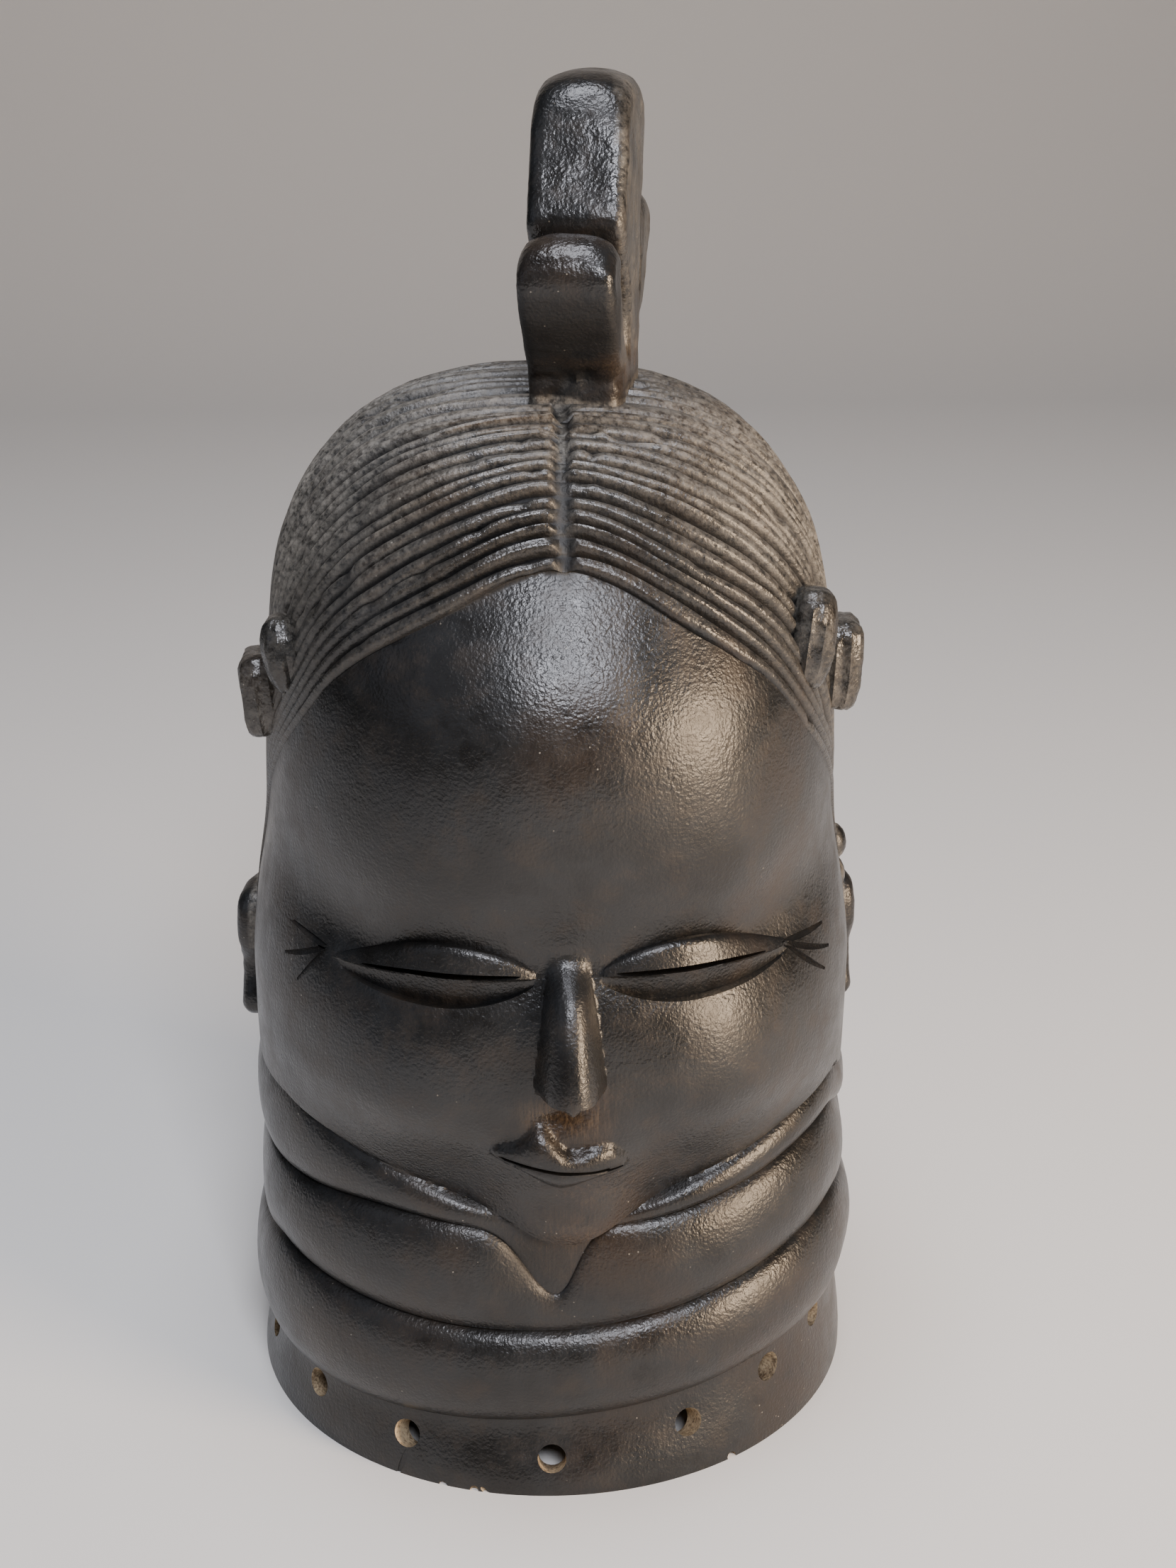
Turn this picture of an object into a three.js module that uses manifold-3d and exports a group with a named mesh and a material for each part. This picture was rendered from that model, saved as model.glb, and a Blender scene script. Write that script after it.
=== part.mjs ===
// Sowei helmet mask: one hollow carving in dark stained wood, with a ringed neck, a broad
// forehead over slit eyes, combed hair, two side knots, two ears and a tall three-lobed crest.
// Millimetres, +Z up. The face looks along -Y, and the mask stands on its open rim at z = 0.
import * as THREE from 'three';
import Module from 'manifold-3d';
import { mergeVertices } from 'three/addons/utils/BufferGeometryUtils.js';

const wasm = await Module();
wasm.setup();

// Driving sizes of the helmet. Its sections and the crown are measured from the line through
// both ears, where the combed ridges of the hair also meet.
const helmetHeight = 341;      // rim to the foot of the crest
const crownDrop = 3.2;         // the crown beside the crest lies this much lower
const headHalfWidth = 98;      // at the ears
const faceReach = 103;         // ear line to the front of the face
const backReach = 121;         // ear line to the back of the head
const rimHalfWidth = 102.5;    // outside, at the rim
const rimFrontReach = 98;      // ear line to the front of the rim
const rimBackReach = 113;      // ear line to the back of the rim
const rimWall = 10;            // thickness at the rim
const neckWall = 7.5;          // thickness in the grooves between the neck rings
const headWall = 14;           // thickness at the sides, front and back of the head
const crownWall = 19;          // thickness under the crest

// Neck rings: how far each roll stands out of the grooves beside it
const neckHalfWidth = 98;      // in the grooves
const neckFrontReach = 90;     // ear line to the grooves in front
const neckBackReach = 109;     // ear line to the grooves behind
const lowRingRise = 7;         // in front and behind
const lowRingSideRise = 5.5;   // under the ears
const highRingRise = 6;
const highRingSideRise = 2;
const jawRollRise = 3.5;       // the narrow roll right under the jaw

// Lashing holes for the costume, drilled round the rim
// In front: degrees from the middle of the face, and height of the centre above the rim
const lashHolesInFront = [[-55.3, 16], [-32.5, 13.5], [-3.4, 11.5], [24.2, 17.5], [43.8, 25], [60, 30.5]];
const lashHolesBehind = 10;
const lashHoleDiameter = 8.4;
const lashHoleHeight = 16;     // centre above the rim, behind
const lashHoleClimb = 14.5;    // the holes on the +X side climb this much with the lowest ring
const lashHoleTilt = 27;       // degrees: they are drilled from above, so the outer end is higher

// Slits to see through
const slitInner = 16;          // inner end of a slit, from the middle of the face
const slitOuter = 57;          // outer end of a slit
const slitOpening = 3.2;       // widest opening

// Crest: a tall stem with a lobe in front and a lobe behind
const crestRise = 87.4;        // crown to the top of the stem
const lobeRise = 46.7;         // crown to the top of the front lobe
const stemWidth = 29;
const frontLobeWidth = 28;
const backLobeWidth = 26;
const crestTwist = -10.5;      // degrees: its back end stands towards +X
const crestShift = 13.5;       // the stem stands this far to the +X side of the parting
const crestEdge = 3.5;         // rounding of the cut edges

// Combed hair
const hairRise = 2.4;          // the grooves of the hair stand this far proud of the forehead
const ridgeDepth = 2.6;        // from the top of a ridge to the groove beside it
const frontRidges = 14;        // from the hairline to the foot of the crest
const crownRidges = 13;        // beside the crest
const backRidges = 13;         // from the crest to the nape
const partingHalfWidth = 2.4;  // flat strip between the combed halves

// Carving, as shares of the helmet's own height
const share = (part) => part * helmetHeight;
const earLine = { y: -5, z: share(0.434) };
const crown = helmetHeight - crownDrop - earLine.z;
const noseTop = share(0.566);
const noseTip = share(0.441);
const chinHeight = share(0.261);
const chinTuck = 13;           // the chin stands back from the cheeks
const napeTuck = 7;            // and the nape from the back of the head
const lipTop = share(0.4135);
const mouthHeight = share(0.37);
const lipBottom = share(0.316);
const mouthHalfWidth = 20;
const mouthShift = -3;         // the mouth is cut a little to one side of the nose
const mouthSlant = 0.125;      // and falls slightly towards +X
const neckScale = helmetHeight / 341;

const planPower = 2.2;         // how square the horizontal sections are
const rimPower = 2;            // the rim is a plain ellipse
const domePower = 3.2;         // how square the crown is
const degree = Math.PI / 180;

const clamp = (value, low, high) => Math.min(high, Math.max(low, value));
const smooth = (value, from, to) => {
  const t = clamp((value - from) / (to - from), 0, 1);
  return t * t * (3 - 2 * t);
};
const hill = (offset, spread) => Math.exp(-((offset / spread) ** 2));
const mix = (a, b, t) => a + (b - a) * t;

// Heights of the lines that divide the neck and the face, by azimuth in degrees from the front
const flank = (azimuth, from, to) => smooth(Math.abs(azimuth), from, to);
const underEar = (a) => hill(Math.abs(a) - 90, 32);
const skirtFront = (a) => 23 + 13 * hill(a - 62, 46) + 10 * smooth(a, 60, 82);
const skirtTop = (a) => neckScale * mix(skirtFront(a), 24, flank(a, 100, 170));
const ringClimb = (a) => (a < 0 ? 8 * smooth(-a, 10, 75) : 17.5 * smooth(a, -4, 74)) - 7 * flank(a, 62, 84);
const lowRingTop = (a) => neckScale * mix(57.5 + ringClimb(a), 67, flank(a, 84, 150));

// The high ring dips to a point under the chin
const chinNotch = (a) => 23 * hill(a + 2.2, a < -2.2 ? 8.5 : 5.5);
const turnDown = (a) => smooth(a, 60, 80);
const foldClimb = (a) => (a < 0 ? 3 * hill(a + 38, 16) : 16.5 * smooth(a, 5, 75)) - 11 * turnDown(a);
const foldFront = (a) => 93.4 + foldClimb(a);
const rollBottom = (a) => neckScale * mix(foldFront(a) - chinNotch(a), 104, flank(a, 84, 150));
const jawFront = (a) => 84 + 39 * (Math.sqrt(Math.min(a * a, 3600) + 16) / 60) ** 0.7 - 9 * turnDown(a);
const jawLine = (a) => neckScale * mix(jawFront(a), 118, flank(a, 84, 130));

// Radius of a horizontal section in the direction (dx, dy) from the ear line
function sectionRadius(dx, dy, halfWidth, frontReach, rearReach, power = planPower) {
  const reach = dy < 0 ? frontReach : rearReach;
  const sum = Math.abs(dx / halfWidth) ** power + Math.abs(dy / reach) ** power;
  return sum ** (-1 / power);
}

function domeRadius(dx, dy, dz, halfWidth, frontReach, rearReach, rise) {
  const reach = dy < 0 ? frontReach : rearReach;
  const flat = Math.abs(dx / halfWidth) ** planPower + Math.abs(dy / reach) ** planPower;
  const sum = flat ** (domePower / planPower) + Math.abs(dz / rise) ** domePower;
  return sum ** (-1 / domePower);
}

// The two slanting lens-shaped eyes: heights of the lid edges at a distance x from the middle
const eyeInner = slitInner - 6;
const eyeOuter = slitOuter + 13;
const eyeShare = (x) => clamp((Math.abs(x) - eyeInner) / (eyeOuter - eyeInner), 0, 1);
const slitHeight = (x) => share(0.5455) - 1.5 * eyeShare(x) - 5.5 * smooth(Math.abs(x), 40, 95);
const eyeArch = (x) => Math.sin(Math.PI * eyeShare(x) ** 0.9) ** 0.75;
const upperLid = (x) => slitHeight(x) + 1.2 + 9.5 * eyeArch(x);
const lowerLid = (x) => slitHeight(x) - 1.2 - 8.5 * eyeArch(x);

// The upper lid stands proud as a band, and the lower one slopes back to a step at the cheek
function eyeRelief(x, z) {
  if (Math.abs(x) > eyeOuter + 4 || Math.abs(x) < eyeInner - 3) return 0;
  const slit = slitHeight(x);
  const arch = eyeArch(x);
  if (z >= slit) {
    const t = (z - slit) / (upperLid(x) - slit);
    return t > 1 ? 0 : arch * (1 + 4 * Math.sqrt(1 - t ** 4));
  }
  const t = (slit - z) / (slit - lowerLid(x));
  return t > 1 ? 0 : arch * mix(2, -4.5, t);
}

// A straight wedge, widest at the bottom, where its lower edge comes to a point
function noseRelief(x, z) {
  const edge = noseTip + 0.31 * Math.abs(x);
  if (z > noseTop || z < edge - 4) return 0;
  const t = clamp((noseTop - z) / (noseTop - noseTip), 0, 1);
  const ridge = mix(5, 15, t ** 0.9) * smooth(noseTop - z, 0, 6);
  const away = clamp(Math.abs(x) / mix(6.5, 10.8, t), 0, 1);
  return smooth(z, edge - 4, edge) * ridge * (1 - away ** 2);
}

function mouthRelief(x, z) {
  const side = clamp(1 - Math.abs(x) / mouthHalfWidth, 0, 1);
  if (side <= 0) return 0;
  const full = side ** 0.6;
  const line = mouthHeight + 0.8 * (1 - side) ** 2 - mouthSlant * x;
  if (z >= line) {
    const t = (z - line) / ((lipTop - line) * (0.35 + 0.65 * full));
    return t > 1 ? 0 : 5 * full * Math.sqrt(Math.max(0, 1 - (1.15 * t - 0.3) ** 2)) - 0.2;
  }
  const t = (line - z) / ((line - lipBottom) * full);
  return t > 1 ? 0 : 5 * full * Math.sqrt(Math.max(0, 1 - (1.15 * t - 0.35) ** 2)) - 0.2;
}

const foreheadRelief = (x, z) => 8 * hill(x, 64) * hill(z - share(0.726), 38);

// How far the carved face stands out of the plain section at (x, z), in front of the ears
function faceRelief(x, z) {
  const wide = Math.abs(x);
  const forehead = foreheadRelief(x, z) - hairRise * smooth(z, share(0.746), share(0.8675));
  const hollow = -7.5 * hill(z - share(0.567), 17) * (1 - smooth(wide, 62, 92));
  const cheek = 4.5 * hill(wide - 44, 25) * hill(z - share(0.434), 25);
  const taper = -6 * smooth(share(0.424) - z, 0, 48) * smooth(wide, 8, 36) * (1 - smooth(wide, 70, 95));
  const muzzle = 5 * hill(x, 19) * hill(z - share(0.373), 23);
  const lipGroove = -3.5 * hill(x - mouthShift, 9) * hill(z - lipTop - 3, 6);
  const chin = 4.5 * hill(x, 13) * hill(z - chinHeight - 9, 10);
  return forehead + hollow + cheek + taper + muzzle + lipGroove + chin
    + eyeRelief(x, z) + noseRelief(x, z) + mouthRelief(x - mouthShift, z);
}

// The sides of the head are drawn in at the temples and above them, and full again at the crown
const sides = share(0.78);
const temple = (z) => {
  const waist = -4 * hill(z - share(0.605), 30) - 13 * hill(z - sides, z < sides ? 52 : 30);
  return waist + 1.5 * hill(z - share(0.8675), 20);
};

// Half-round rolls of the neck between two of its lines
const roll = (z, low, high, rise) => {
  const t = clamp((z - low) / (high - low), 0, 1);
  return rise * Math.sqrt(Math.max(0, 1 - (2 * t - 1) ** 2)) ** 1.2;
};

// A point on the neck or the lower face. side is -1 in front of the ears and 1 behind them.
function lowerPoint(bearing, side, z) {
  const dx = Math.sin(bearing);
  const dy = side * Math.cos(bearing);
  const azimuth = Math.atan2(dx, -dy) / degree;
  const skirt = skirtTop(azimuth);
  const ring = lowRingTop(azimuth);
  const fold = rollBottom(azimuth);
  const jaw = jawLine(azimuth);
  let radius;
  if (z < jaw) {
    const flare = 1 - smooth(z, 0, skirt);
    const tuck = 2 * smooth(z, ring, jaw);
    const half = mix(neckHalfWidth - tuck, rimHalfWidth, flare);
    const front = mix(neckFrontReach - tuck, rimFrontReach, flare);
    const rear = mix(neckBackReach, rimBackReach, flare);
    const lowRise = mix(lowRingRise, lowRingSideRise, underEar(azimuth));
    const highRise = mix(highRingRise, highRingSideRise, underEar(azimuth)) * (1 - 0.7 * hill(azimuth + 2, 13));
    radius = sectionRadius(dx, dy, half, front, rear, mix(planPower, rimPower, flare));
    if (z > skirt && z < ring) radius += roll(z, skirt, ring, lowRise);
    if (z >= ring && z < fold) radius += roll(z, ring, fold, highRise);
    if (z >= fold) radius += roll(z, fold, jaw, jawRollRise * flank(azimuth, 6, 26));
  } else {
    const drop = smooth(earLine.z - z, 0, earLine.z - chinHeight);
    const front = faceReach - chinTuck * drop;
    const rear = backReach - napeTuck * drop;
    radius = sectionRadius(dx, dy, headHalfWidth, front, rear);
    if (side < 0) radius += faceRelief(dx * radius, z);
  }
  return new THREE.Vector3(dx * radius, earLine.y + dy * radius, z);
}

// A point above the ear line, turned up by lift from the front (0) over the crown to the back (pi)
function skinPoint(bearing, lift) {
  const dx = Math.sin(bearing);
  const dy = -Math.cos(bearing) * Math.cos(lift);
  const dz = Math.cos(bearing) * Math.sin(lift);
  let radius = domeRadius(dx, dy, dz, headHalfWidth, faceReach, backReach, crown);
  const z = earLine.z + dz * radius;
  radius += temple(z) * smooth(Math.abs(dx), 0.3, 0.9) * smooth(z, earLine.z, earLine.z + 25);
  return { dx, dy, dz, radius };
}

const place = (dx, dy, dz, radius) =>
  new THREE.Vector3(dx * radius, earLine.y + dy * radius, earLine.z + dz * radius);

function facePoint(bearing, lift) {
  const { dx, dy, dz, radius } = skinPoint(bearing, lift);
  return place(dx, dy, dz, radius + faceRelief(dx * radius, earLine.z + dz * radius));
}

// The lift at which the surface above the ear line reaches the height that heightAt(x) asks for
function liftAt(bearing, heightAt) {
  let low = 0;
  let high = 80 * degree;
  for (let i = 0; i < 24; i += 1) {
    const middle = (low + high) / 2;
    const { dx, dz, radius } = skinPoint(bearing, middle);
    if (earLine.z + dz * radius < heightAt(dx * radius)) low = middle;
    else high = middle;
  }
  return low;
}

// The hairline is highest at the parting, lower towards +X, and turns up towards the ears
const turnUp = (bearing) => smooth(Math.abs(bearing), 28 * degree, 80 * degree);
const hairlineLift = (bearing) =>
  (58 + 4 * hill(bearing, 0.17) - 3 * Math.sin(bearing) + 26 * turnUp(bearing)) * degree;
const crestFootLift = (bearing) => (80 + 14 * turnUp(bearing)) * degree;
const crestHeelLift = (bearing) => (112 + 8 * turnUp(bearing)) * degree;
const napeLift = 180 * degree;

function hairPoint(bearing, lift, crest) {
  const { dx, dy, dz, radius } = skinPoint(bearing, lift);
  const x = dx * radius;
  const spread = Math.cos(bearing);
  const parting = 1 - smooth(Math.abs(x), partingHalfWidth * 0.5, partingHalfWidth * 1.6);
  const z = earLine.z + dz * radius;
  const bulge = dy < 0 ? foreheadRelief(x, z) * (1 - smooth(z, share(0.8475), share(0.9785))) : 0;
  const depth = ridgeDepth * clamp(spread * 1.15, 0, 1);
  return place(dx, dy, dz, radius + bulge + depth * ((crest - 0.5) * (1 - parting) - 0.9 * parting));
}

// Mesh that joins neighbouring rows of points, which may hold different numbers of points
class Skin {
  constructor() {
    this.points = [];
    this.triangles = [];
  }

  add(point) {
    this.points.push(point);
    return this.points.length - 1;
  }

  face(a, b, c) {
    if (a !== b && b !== c && c !== a) this.triangles.push(a, b, c);
  }

  // Each row is a list of { index, at }, with at rising from left to right
  strip(lower, upper) {
    let i = 0;
    let j = 0;
    while (i < lower.length - 1 || j < upper.length - 1) {
      const nextLower = i < lower.length - 1 ? lower[i + 1].at : Infinity;
      const nextUpper = j < upper.length - 1 ? upper[j + 1].at : Infinity;
      if (nextLower <= nextUpper) {
        this.face(lower[i].index, lower[i + 1].index, upper[j].index);
        i += 1;
      } else {
        this.face(lower[i].index, upper[j + 1].index, upper[j].index);
        j += 1;
      }
    }
  }

  geometry() {
    const made = new THREE.BufferGeometry().setFromPoints(this.points);
    made.setIndex(this.triangles);
    return made;
  }
}

// Bearings of the columns, from the left ear to the right ear
const mirrored = (half) => [...half.map((a) => -a).reverse(), ...half.slice(half[0] === 0 ? 1 : 0)];
const faceColumns = mirrored([0, 2.2, 4.2, 6.5, 9.5, 13.5, 18, 23, 28, 33.5, 39, 46, 54, 63, 73, 90]);
const neckColumns = [
  -90, -77, -65, -53, -41, -30, -22, -15.5, -9, -2.5, 2.7, 8, 15, 22, 30, 41, 53, 65, 77, 90,
];
const hairColumns = mirrored([1.1, 3, 14, 25, 35, 46, 62, 90]);
const rearColumns = [90, 75, 60, 45, 30, 15, 0, -15, -30, -45, -60, -75, -90];

// Outer form of the helmet without its crest, knots and ears, closed across the rim
function outerForm() {
  const skin = new Skin();

  // A closed row below the ear line, at the height that heightAt gives for an azimuth
  function ringRow(heightAt, columns) {
    const make = (angle, side) => {
      const bearing = angle * degree;
      const azimuth = Math.atan2(Math.sin(bearing), -side * Math.cos(bearing)) / degree;
      const index = skin.add(lowerPoint(bearing, side, heightAt(azimuth)));
      return { index, at: side < 0 ? angle : 180 - angle };
    };
    const front = columns.map((angle) => make(angle, -1));
    const rear = rearColumns.slice(1, -1).map((angle) => make(angle, 1));
    return [...front, ...rear, { index: front[0].index, at: 270 }];
  }

  // Rows between two lines of the neck or the face, at the given shares of the way up
  const between = (low, high, shares) => shares.map((t) => (azimuth) => mix(low(azimuth), high(azimuth), t));
  const ground = () => 0;
  const edge = 0.6;
  const jawEdge = (azimuth) => jawLine(azimuth) + edge;
  const mouthLow = (azimuth) => mix(lipBottom, share(0.358), flank(azimuth, 20, 70));
  const mouthMid = (azimuth) => mix(mouthHeight, share(0.379), flank(azimuth, 20, 70));
  const mouthTop = (azimuth) => mix(lipTop, share(0.4075), flank(azimuth, 20, 70));
  const neckHeights = [
    ...between(ground, skirtTop, [0, 0.5, 0.98]),
    ...between(skirtTop, lowRingTop, [0.1, 0.3, 0.55, 0.8, 0.94]),
    ...between(lowRingTop, rollBottom, [0, 0.15, 0.5, 0.85]),
    ...between(rollBottom, jawLine, [0, 0.5, 0.99]),
  ];
  const jawHeights = [
    ...between(jawEdge, mouthLow, [0, 0.35, 0.7]),
    ...between(mouthLow, mouthMid, [0, 0.45, 0.92]),
    ...between(mouthMid, mouthTop, [0.08, 0.5]),
    mouthTop,
    (azimuth) => mix(mouthTop(azimuth), earLine.z, 0.55),
  ];
  const rows = neckHeights.map((heightAt) => ringRow(heightAt, neckColumns));
  rows.push(...jawHeights.map((heightAt) => ringRow(heightAt, faceColumns)));
  const seam = ringRow(() => earLine.z, faceColumns);
  rows.push(seam);
  for (let i = 0; i < rows.length - 1; i += 1) skin.strip(rows[i], rows[i + 1]);
  const middle = skin.add(new THREE.Vector3(0, earLine.y, 0));
  for (let i = 0; i < rows[0].length - 1; i += 1) {
    skin.face(middle, rows[0][i + 1].index, rows[0][i].index);
  }

  // Rows above the ear line run from ear to ear
  const frontSeam = seam.slice(0, faceColumns.length);
  const leftEar = frontSeam[0];
  const rightEar = frontSeam[frontSeam.length - 1];
  const arcRow = (columns, pointAt) => columns.map((angle, i) => {
    if (i === 0) return leftEar;
    if (i === columns.length - 1) return rightEar;
    return { index: skin.add(pointAt(angle * degree)), at: angle };
  });

  const onFace = (heightAt) => (bearing) => liftAt(bearing, heightAt);
  const mixLift = (from, to, t) => (bearing) => mix(from(bearing), to(bearing), t);
  const lower = onFace(lowerLid);
  const slit = onFace(slitHeight);
  const upper = onFace(upperLid);
  const level = () => 0;
  const lifts = [
    mixLift(level, lower, 0.14), mixLift(level, lower, 0.4), mixLift(level, lower, 0.7), lower,
    mixLift(lower, slit, 0.1), mixLift(lower, slit, 0.92), mixLift(slit, upper, 0.08),
    mixLift(slit, upper, 0.55), mixLift(slit, upper, 0.85), upper,
    ...[0.07, 0.2, 0.37, 0.55, 0.72, 0.87].map((t) => mixLift(upper, hairlineLift, t)),
    hairlineLift,
  ];
  const onSkin = (liftOf) => arcRow(faceColumns, (bearing) => facePoint(bearing, liftOf(bearing)));
  const faceRows = lifts.map(onSkin);

  // Two rows to a ridge: its groove and its top
  const hairRows = [];
  function comb(fromLift, toLift, count) {
    for (let i = 0; i < count; i += 1) {
      [0, 0.5].forEach((t) => {
        hairRows.push(arcRow(hairColumns, (bearing) => {
          const lift = mix(fromLift(bearing), toLift(bearing), (i + t) / count);
          return hairPoint(bearing, lift, t === 0 ? 0 : 1);
        }));
      });
    }
  }
  comb((bearing) => hairlineLift(bearing) + 0.1 * degree, crestFootLift, frontRidges);
  comb(crestFootLift, crestHeelLift, crownRidges);
  comb(crestHeelLift, () => napeLift, backRidges);

  const rearSeam = [leftEar, ...seam.slice(faceColumns.length, -1).reverse(), rightEar]
    .map(({ index }, i) => ({ index, at: rearColumns[rearColumns.length - 1 - i] }));
  const arcs = [frontSeam, ...faceRows, ...hairRows, rearSeam];
  for (let i = 0; i < arcs.length - 1; i += 1) skin.strip(arcs[i], arcs[i + 1]);
  return skin.geometry();
}

// The hollow inside, open below the rim
function hollowForm() {
  const skin = new Skin();
  const around = 24;
  const floor = -5;
  const within = (half, front, rear, wall, power = planPower) =>
    ({ half: half - wall, front: front - wall, rear: rear - wall, power });
  const rim = within(rimHalfWidth, rimFrontReach, rimBackReach, rimWall, rimPower);
  const neck = within(neckHalfWidth, neckFrontReach, neckBackReach, neckWall);
  const head = within(headHalfWidth, faceReach, backReach, headWall);
  const inside = crown - crownWall;
  const rowAt = (pointAt) => {
    const row = [];
    for (let i = 0; i < around; i += 1) {
      const turn = (i / around) * 2 * Math.PI;
      row.push({ index: skin.add(pointAt(Math.cos(turn), Math.sin(turn))), at: i });
    }
    row.push({ index: row[0].index, at: around });
    return row;
  };
  const levels = [[floor, rim], [0, rim], [share(0.0807), neck], [share(0.252), neck], [earLine.z, head]];
  const rows = levels.map(([z, size]) => rowAt((dx, dy) => {
    const radius = sectionRadius(dx, dy, size.half, size.front, size.rear, size.power);
    return new THREE.Vector3(dx * radius, earLine.y + dy * radius, z);
  }));
  [15, 30, 45, 60, 75].forEach((angle) => {
    const dz = Math.sin(angle * degree);
    const flat = Math.cos(angle * degree);
    rows.push(rowAt((dx, dy) => {
      const radius = domeRadius(dx * flat, dy * flat, dz, head.half, head.front, head.rear, inside);
      return place(dx * flat, dy * flat, dz, radius);
    }));
  });
  for (let i = 0; i < rows.length - 1; i += 1) skin.strip(rows[i], rows[i + 1]);
  const low = skin.add(new THREE.Vector3(0, earLine.y, floor));
  const high = skin.add(new THREE.Vector3(0, earLine.y, earLine.z + inside));
  const last = rows[rows.length - 1];
  for (let i = 0; i < around; i += 1) {
    skin.face(low, rows[0][i + 1].index, rows[0][i].index);
    skin.face(high, last[i].index, last[i + 1].index);
  }
  return skin.geometry();
}

// Outline through corner points, drawn as one smooth closed curve
function smoothOutline(corners, pieces) {
  const stops = corners.map(([a, b]) => new THREE.Vector3(a, b, 0));
  const curve = new THREE.CatmullRomCurve3(stops, true, 'centripetal');
  return new THREE.Shape(curve.getPoints(pieces).slice(0, -1).map((p) => new THREE.Vector2(p.x, p.y)));
}

// A plate with rounded edges, cut from an outline in the plane of y and z and centred on x = 0
function plate(shape, width, edge) {
  const made = new THREE.ExtrudeGeometry(shape, {
    depth: width - 2 * edge, bevelEnabled: true, bevelThickness: edge, bevelSize: edge, bevelOffset: -edge,
    bevelSegments: 1, steps: 1,
  });
  made.translate(0, 0, -width / 2 + edge);
  made.rotateX(Math.PI / 2);
  made.rotateZ(Math.PI / 2);
  return made;
}

function crestForms() {
  const foot = -18;                                    // below the crown, inside the head
  const stem = smoothOutline([
    [-17, foot], [-18, 18], [-26, 32], [-36, 46], [-33, 56], [-28, 67], [-24, crestRise - 10],
    [-16, crestRise - 2], [0, crestRise], [18, crestRise - 2], [28, crestRise - 13],
    [27, 64], [21, 52], [15, 38], [13, 18], [14, foot],
  ], 28);
  const frontLobe = smoothOutline([
    [-6, foot], [-36, foot], [-39, 1], [-42, 7], [-49, 15], [-57, 24], [-61, 34], [-59, lobeRise - 5],
    [-50, lobeRise], [-41, lobeRise - 4], [-38, 33], [-33, 24], [-27, 16], [-20, 9], [-6, 6],
  ], 24);
  const backLobe = smoothOutline([
    [6, foot], [20, foot], [24, 6], [42, 12], [58, 22], [68, 33], [66, lobeRise - 3],
    [50, lobeRise + 2], [36, lobeRise - 3], [29, 36], [33, 28], [29, 20], [18, 13], [6, 8],
  ], 24);
  const stand = (shape, width) => {
    const made = plate(shape, width, crestEdge);
    made.rotateZ(crestTwist * degree);
    made.translate(crestShift, 2, helmetHeight);
    return made;
  };
  return [stand(stem, stemWidth), stand(frontLobe, frontLobeWidth), stand(backLobe, backLobeWidth)];
}

// A side knot on each side: an inner roll of hair, and an outer one behind it and a little lower
const knotRolls = {
  left: [
    { size: [6.5, 10, 12], at: [-80.8, -49, 0.7845], turn: -8 },
    { size: [8, 12, 13.5], at: [-88, -28.5, 0.7295], turn: -5 },
  ],
  right: [
    { size: [8, 11, 16], at: [74.2, -60.8, 0.8], turn: 6 },
    { size: [8, 12, 14.7], at: [87.1, -35, 0.753], turn: 3 },
  ],
};

function knotForms(rolls) {
  return rolls.map(({ size, at, turn }) => {
    const made = new THREE.SphereGeometry(1, 9, 6);
    made.scale(...size);
    made.rotateY(turn * degree);
    made.translate(at[0], at[1], share(at[2]));
    return made;
  });
}

// An ear: a plate with a rounded rim, hollowed in the middle, set off the side of the head
function earForm(side) {
  const corners = [[-12, -20], [4, -24], [15, -10], [17, 8], [14, 21], [-8, 22], [-13, 8], [-9, -4]];
  const made = plate(smoothOutline(corners, 14), 20, 2.5);
  made.rotateZ(side * 10 * degree);
  made.translate(side * (headHalfWidth - 4.5), earLine.y + 16, share(0.4217));
  return made;
}

function earHollow(side) {
  const made = new THREE.SphereGeometry(1, 8, 6);
  made.scale(6, 8.5, 14);
  made.translate(side * (headHalfWidth + 6.5), earLine.y + 19, share(0.4237));
  return made;
}

// Beads of the short plait in front of the right ear
function plaitForms() {
  const beads = [];
  for (let i = 0; i < 4; i += 1) {
    const made = new THREE.SphereGeometry(1, 7, 4);
    made.scale(5, 6, 6.5);
    made.translate(headHalfWidth - 2.5 - 0.3 * i, earLine.y + 7 - 1.5 * i, share(0.4287 + 0.0353 * i));
    beads.push(made);
  }
  return beads;
}

function lashHole([azimuth, height]) {
  const turn = azimuth * degree;
  const reach = sectionRadius(Math.sin(turn), -Math.cos(turn), rimHalfWidth, rimFrontReach, rimBackReach, rimPower);
  const made = new THREE.CylinderGeometry(lashHoleDiameter / 2, lashHoleDiameter / 2, 36, 8);
  made.rotateX(-lashHoleTilt * degree);
  made.translate(0, -reach + 4, 0);
  made.rotateZ(turn);
  made.translate(0, earLine.y, height);
  return made;
}

// The holes in front stand unevenly, and those behind are spaced evenly between the outer two
function lashHoles() {
  const [first] = lashHolesInFront[0];
  const [last] = lashHolesInFront[lashHolesInFront.length - 1];
  const gap = (360 + first - last) / (lashHolesBehind + 1);
  const behind = Array.from({ length: lashHolesBehind }, (unused, i) => {
    const azimuth = last + gap * (i + 1);
    return [azimuth, lashHoleHeight + lashHoleClimb * hill(azimuth - 60, 36)];
  });
  return [...lashHolesInFront, ...behind].map(lashHole);
}

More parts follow.
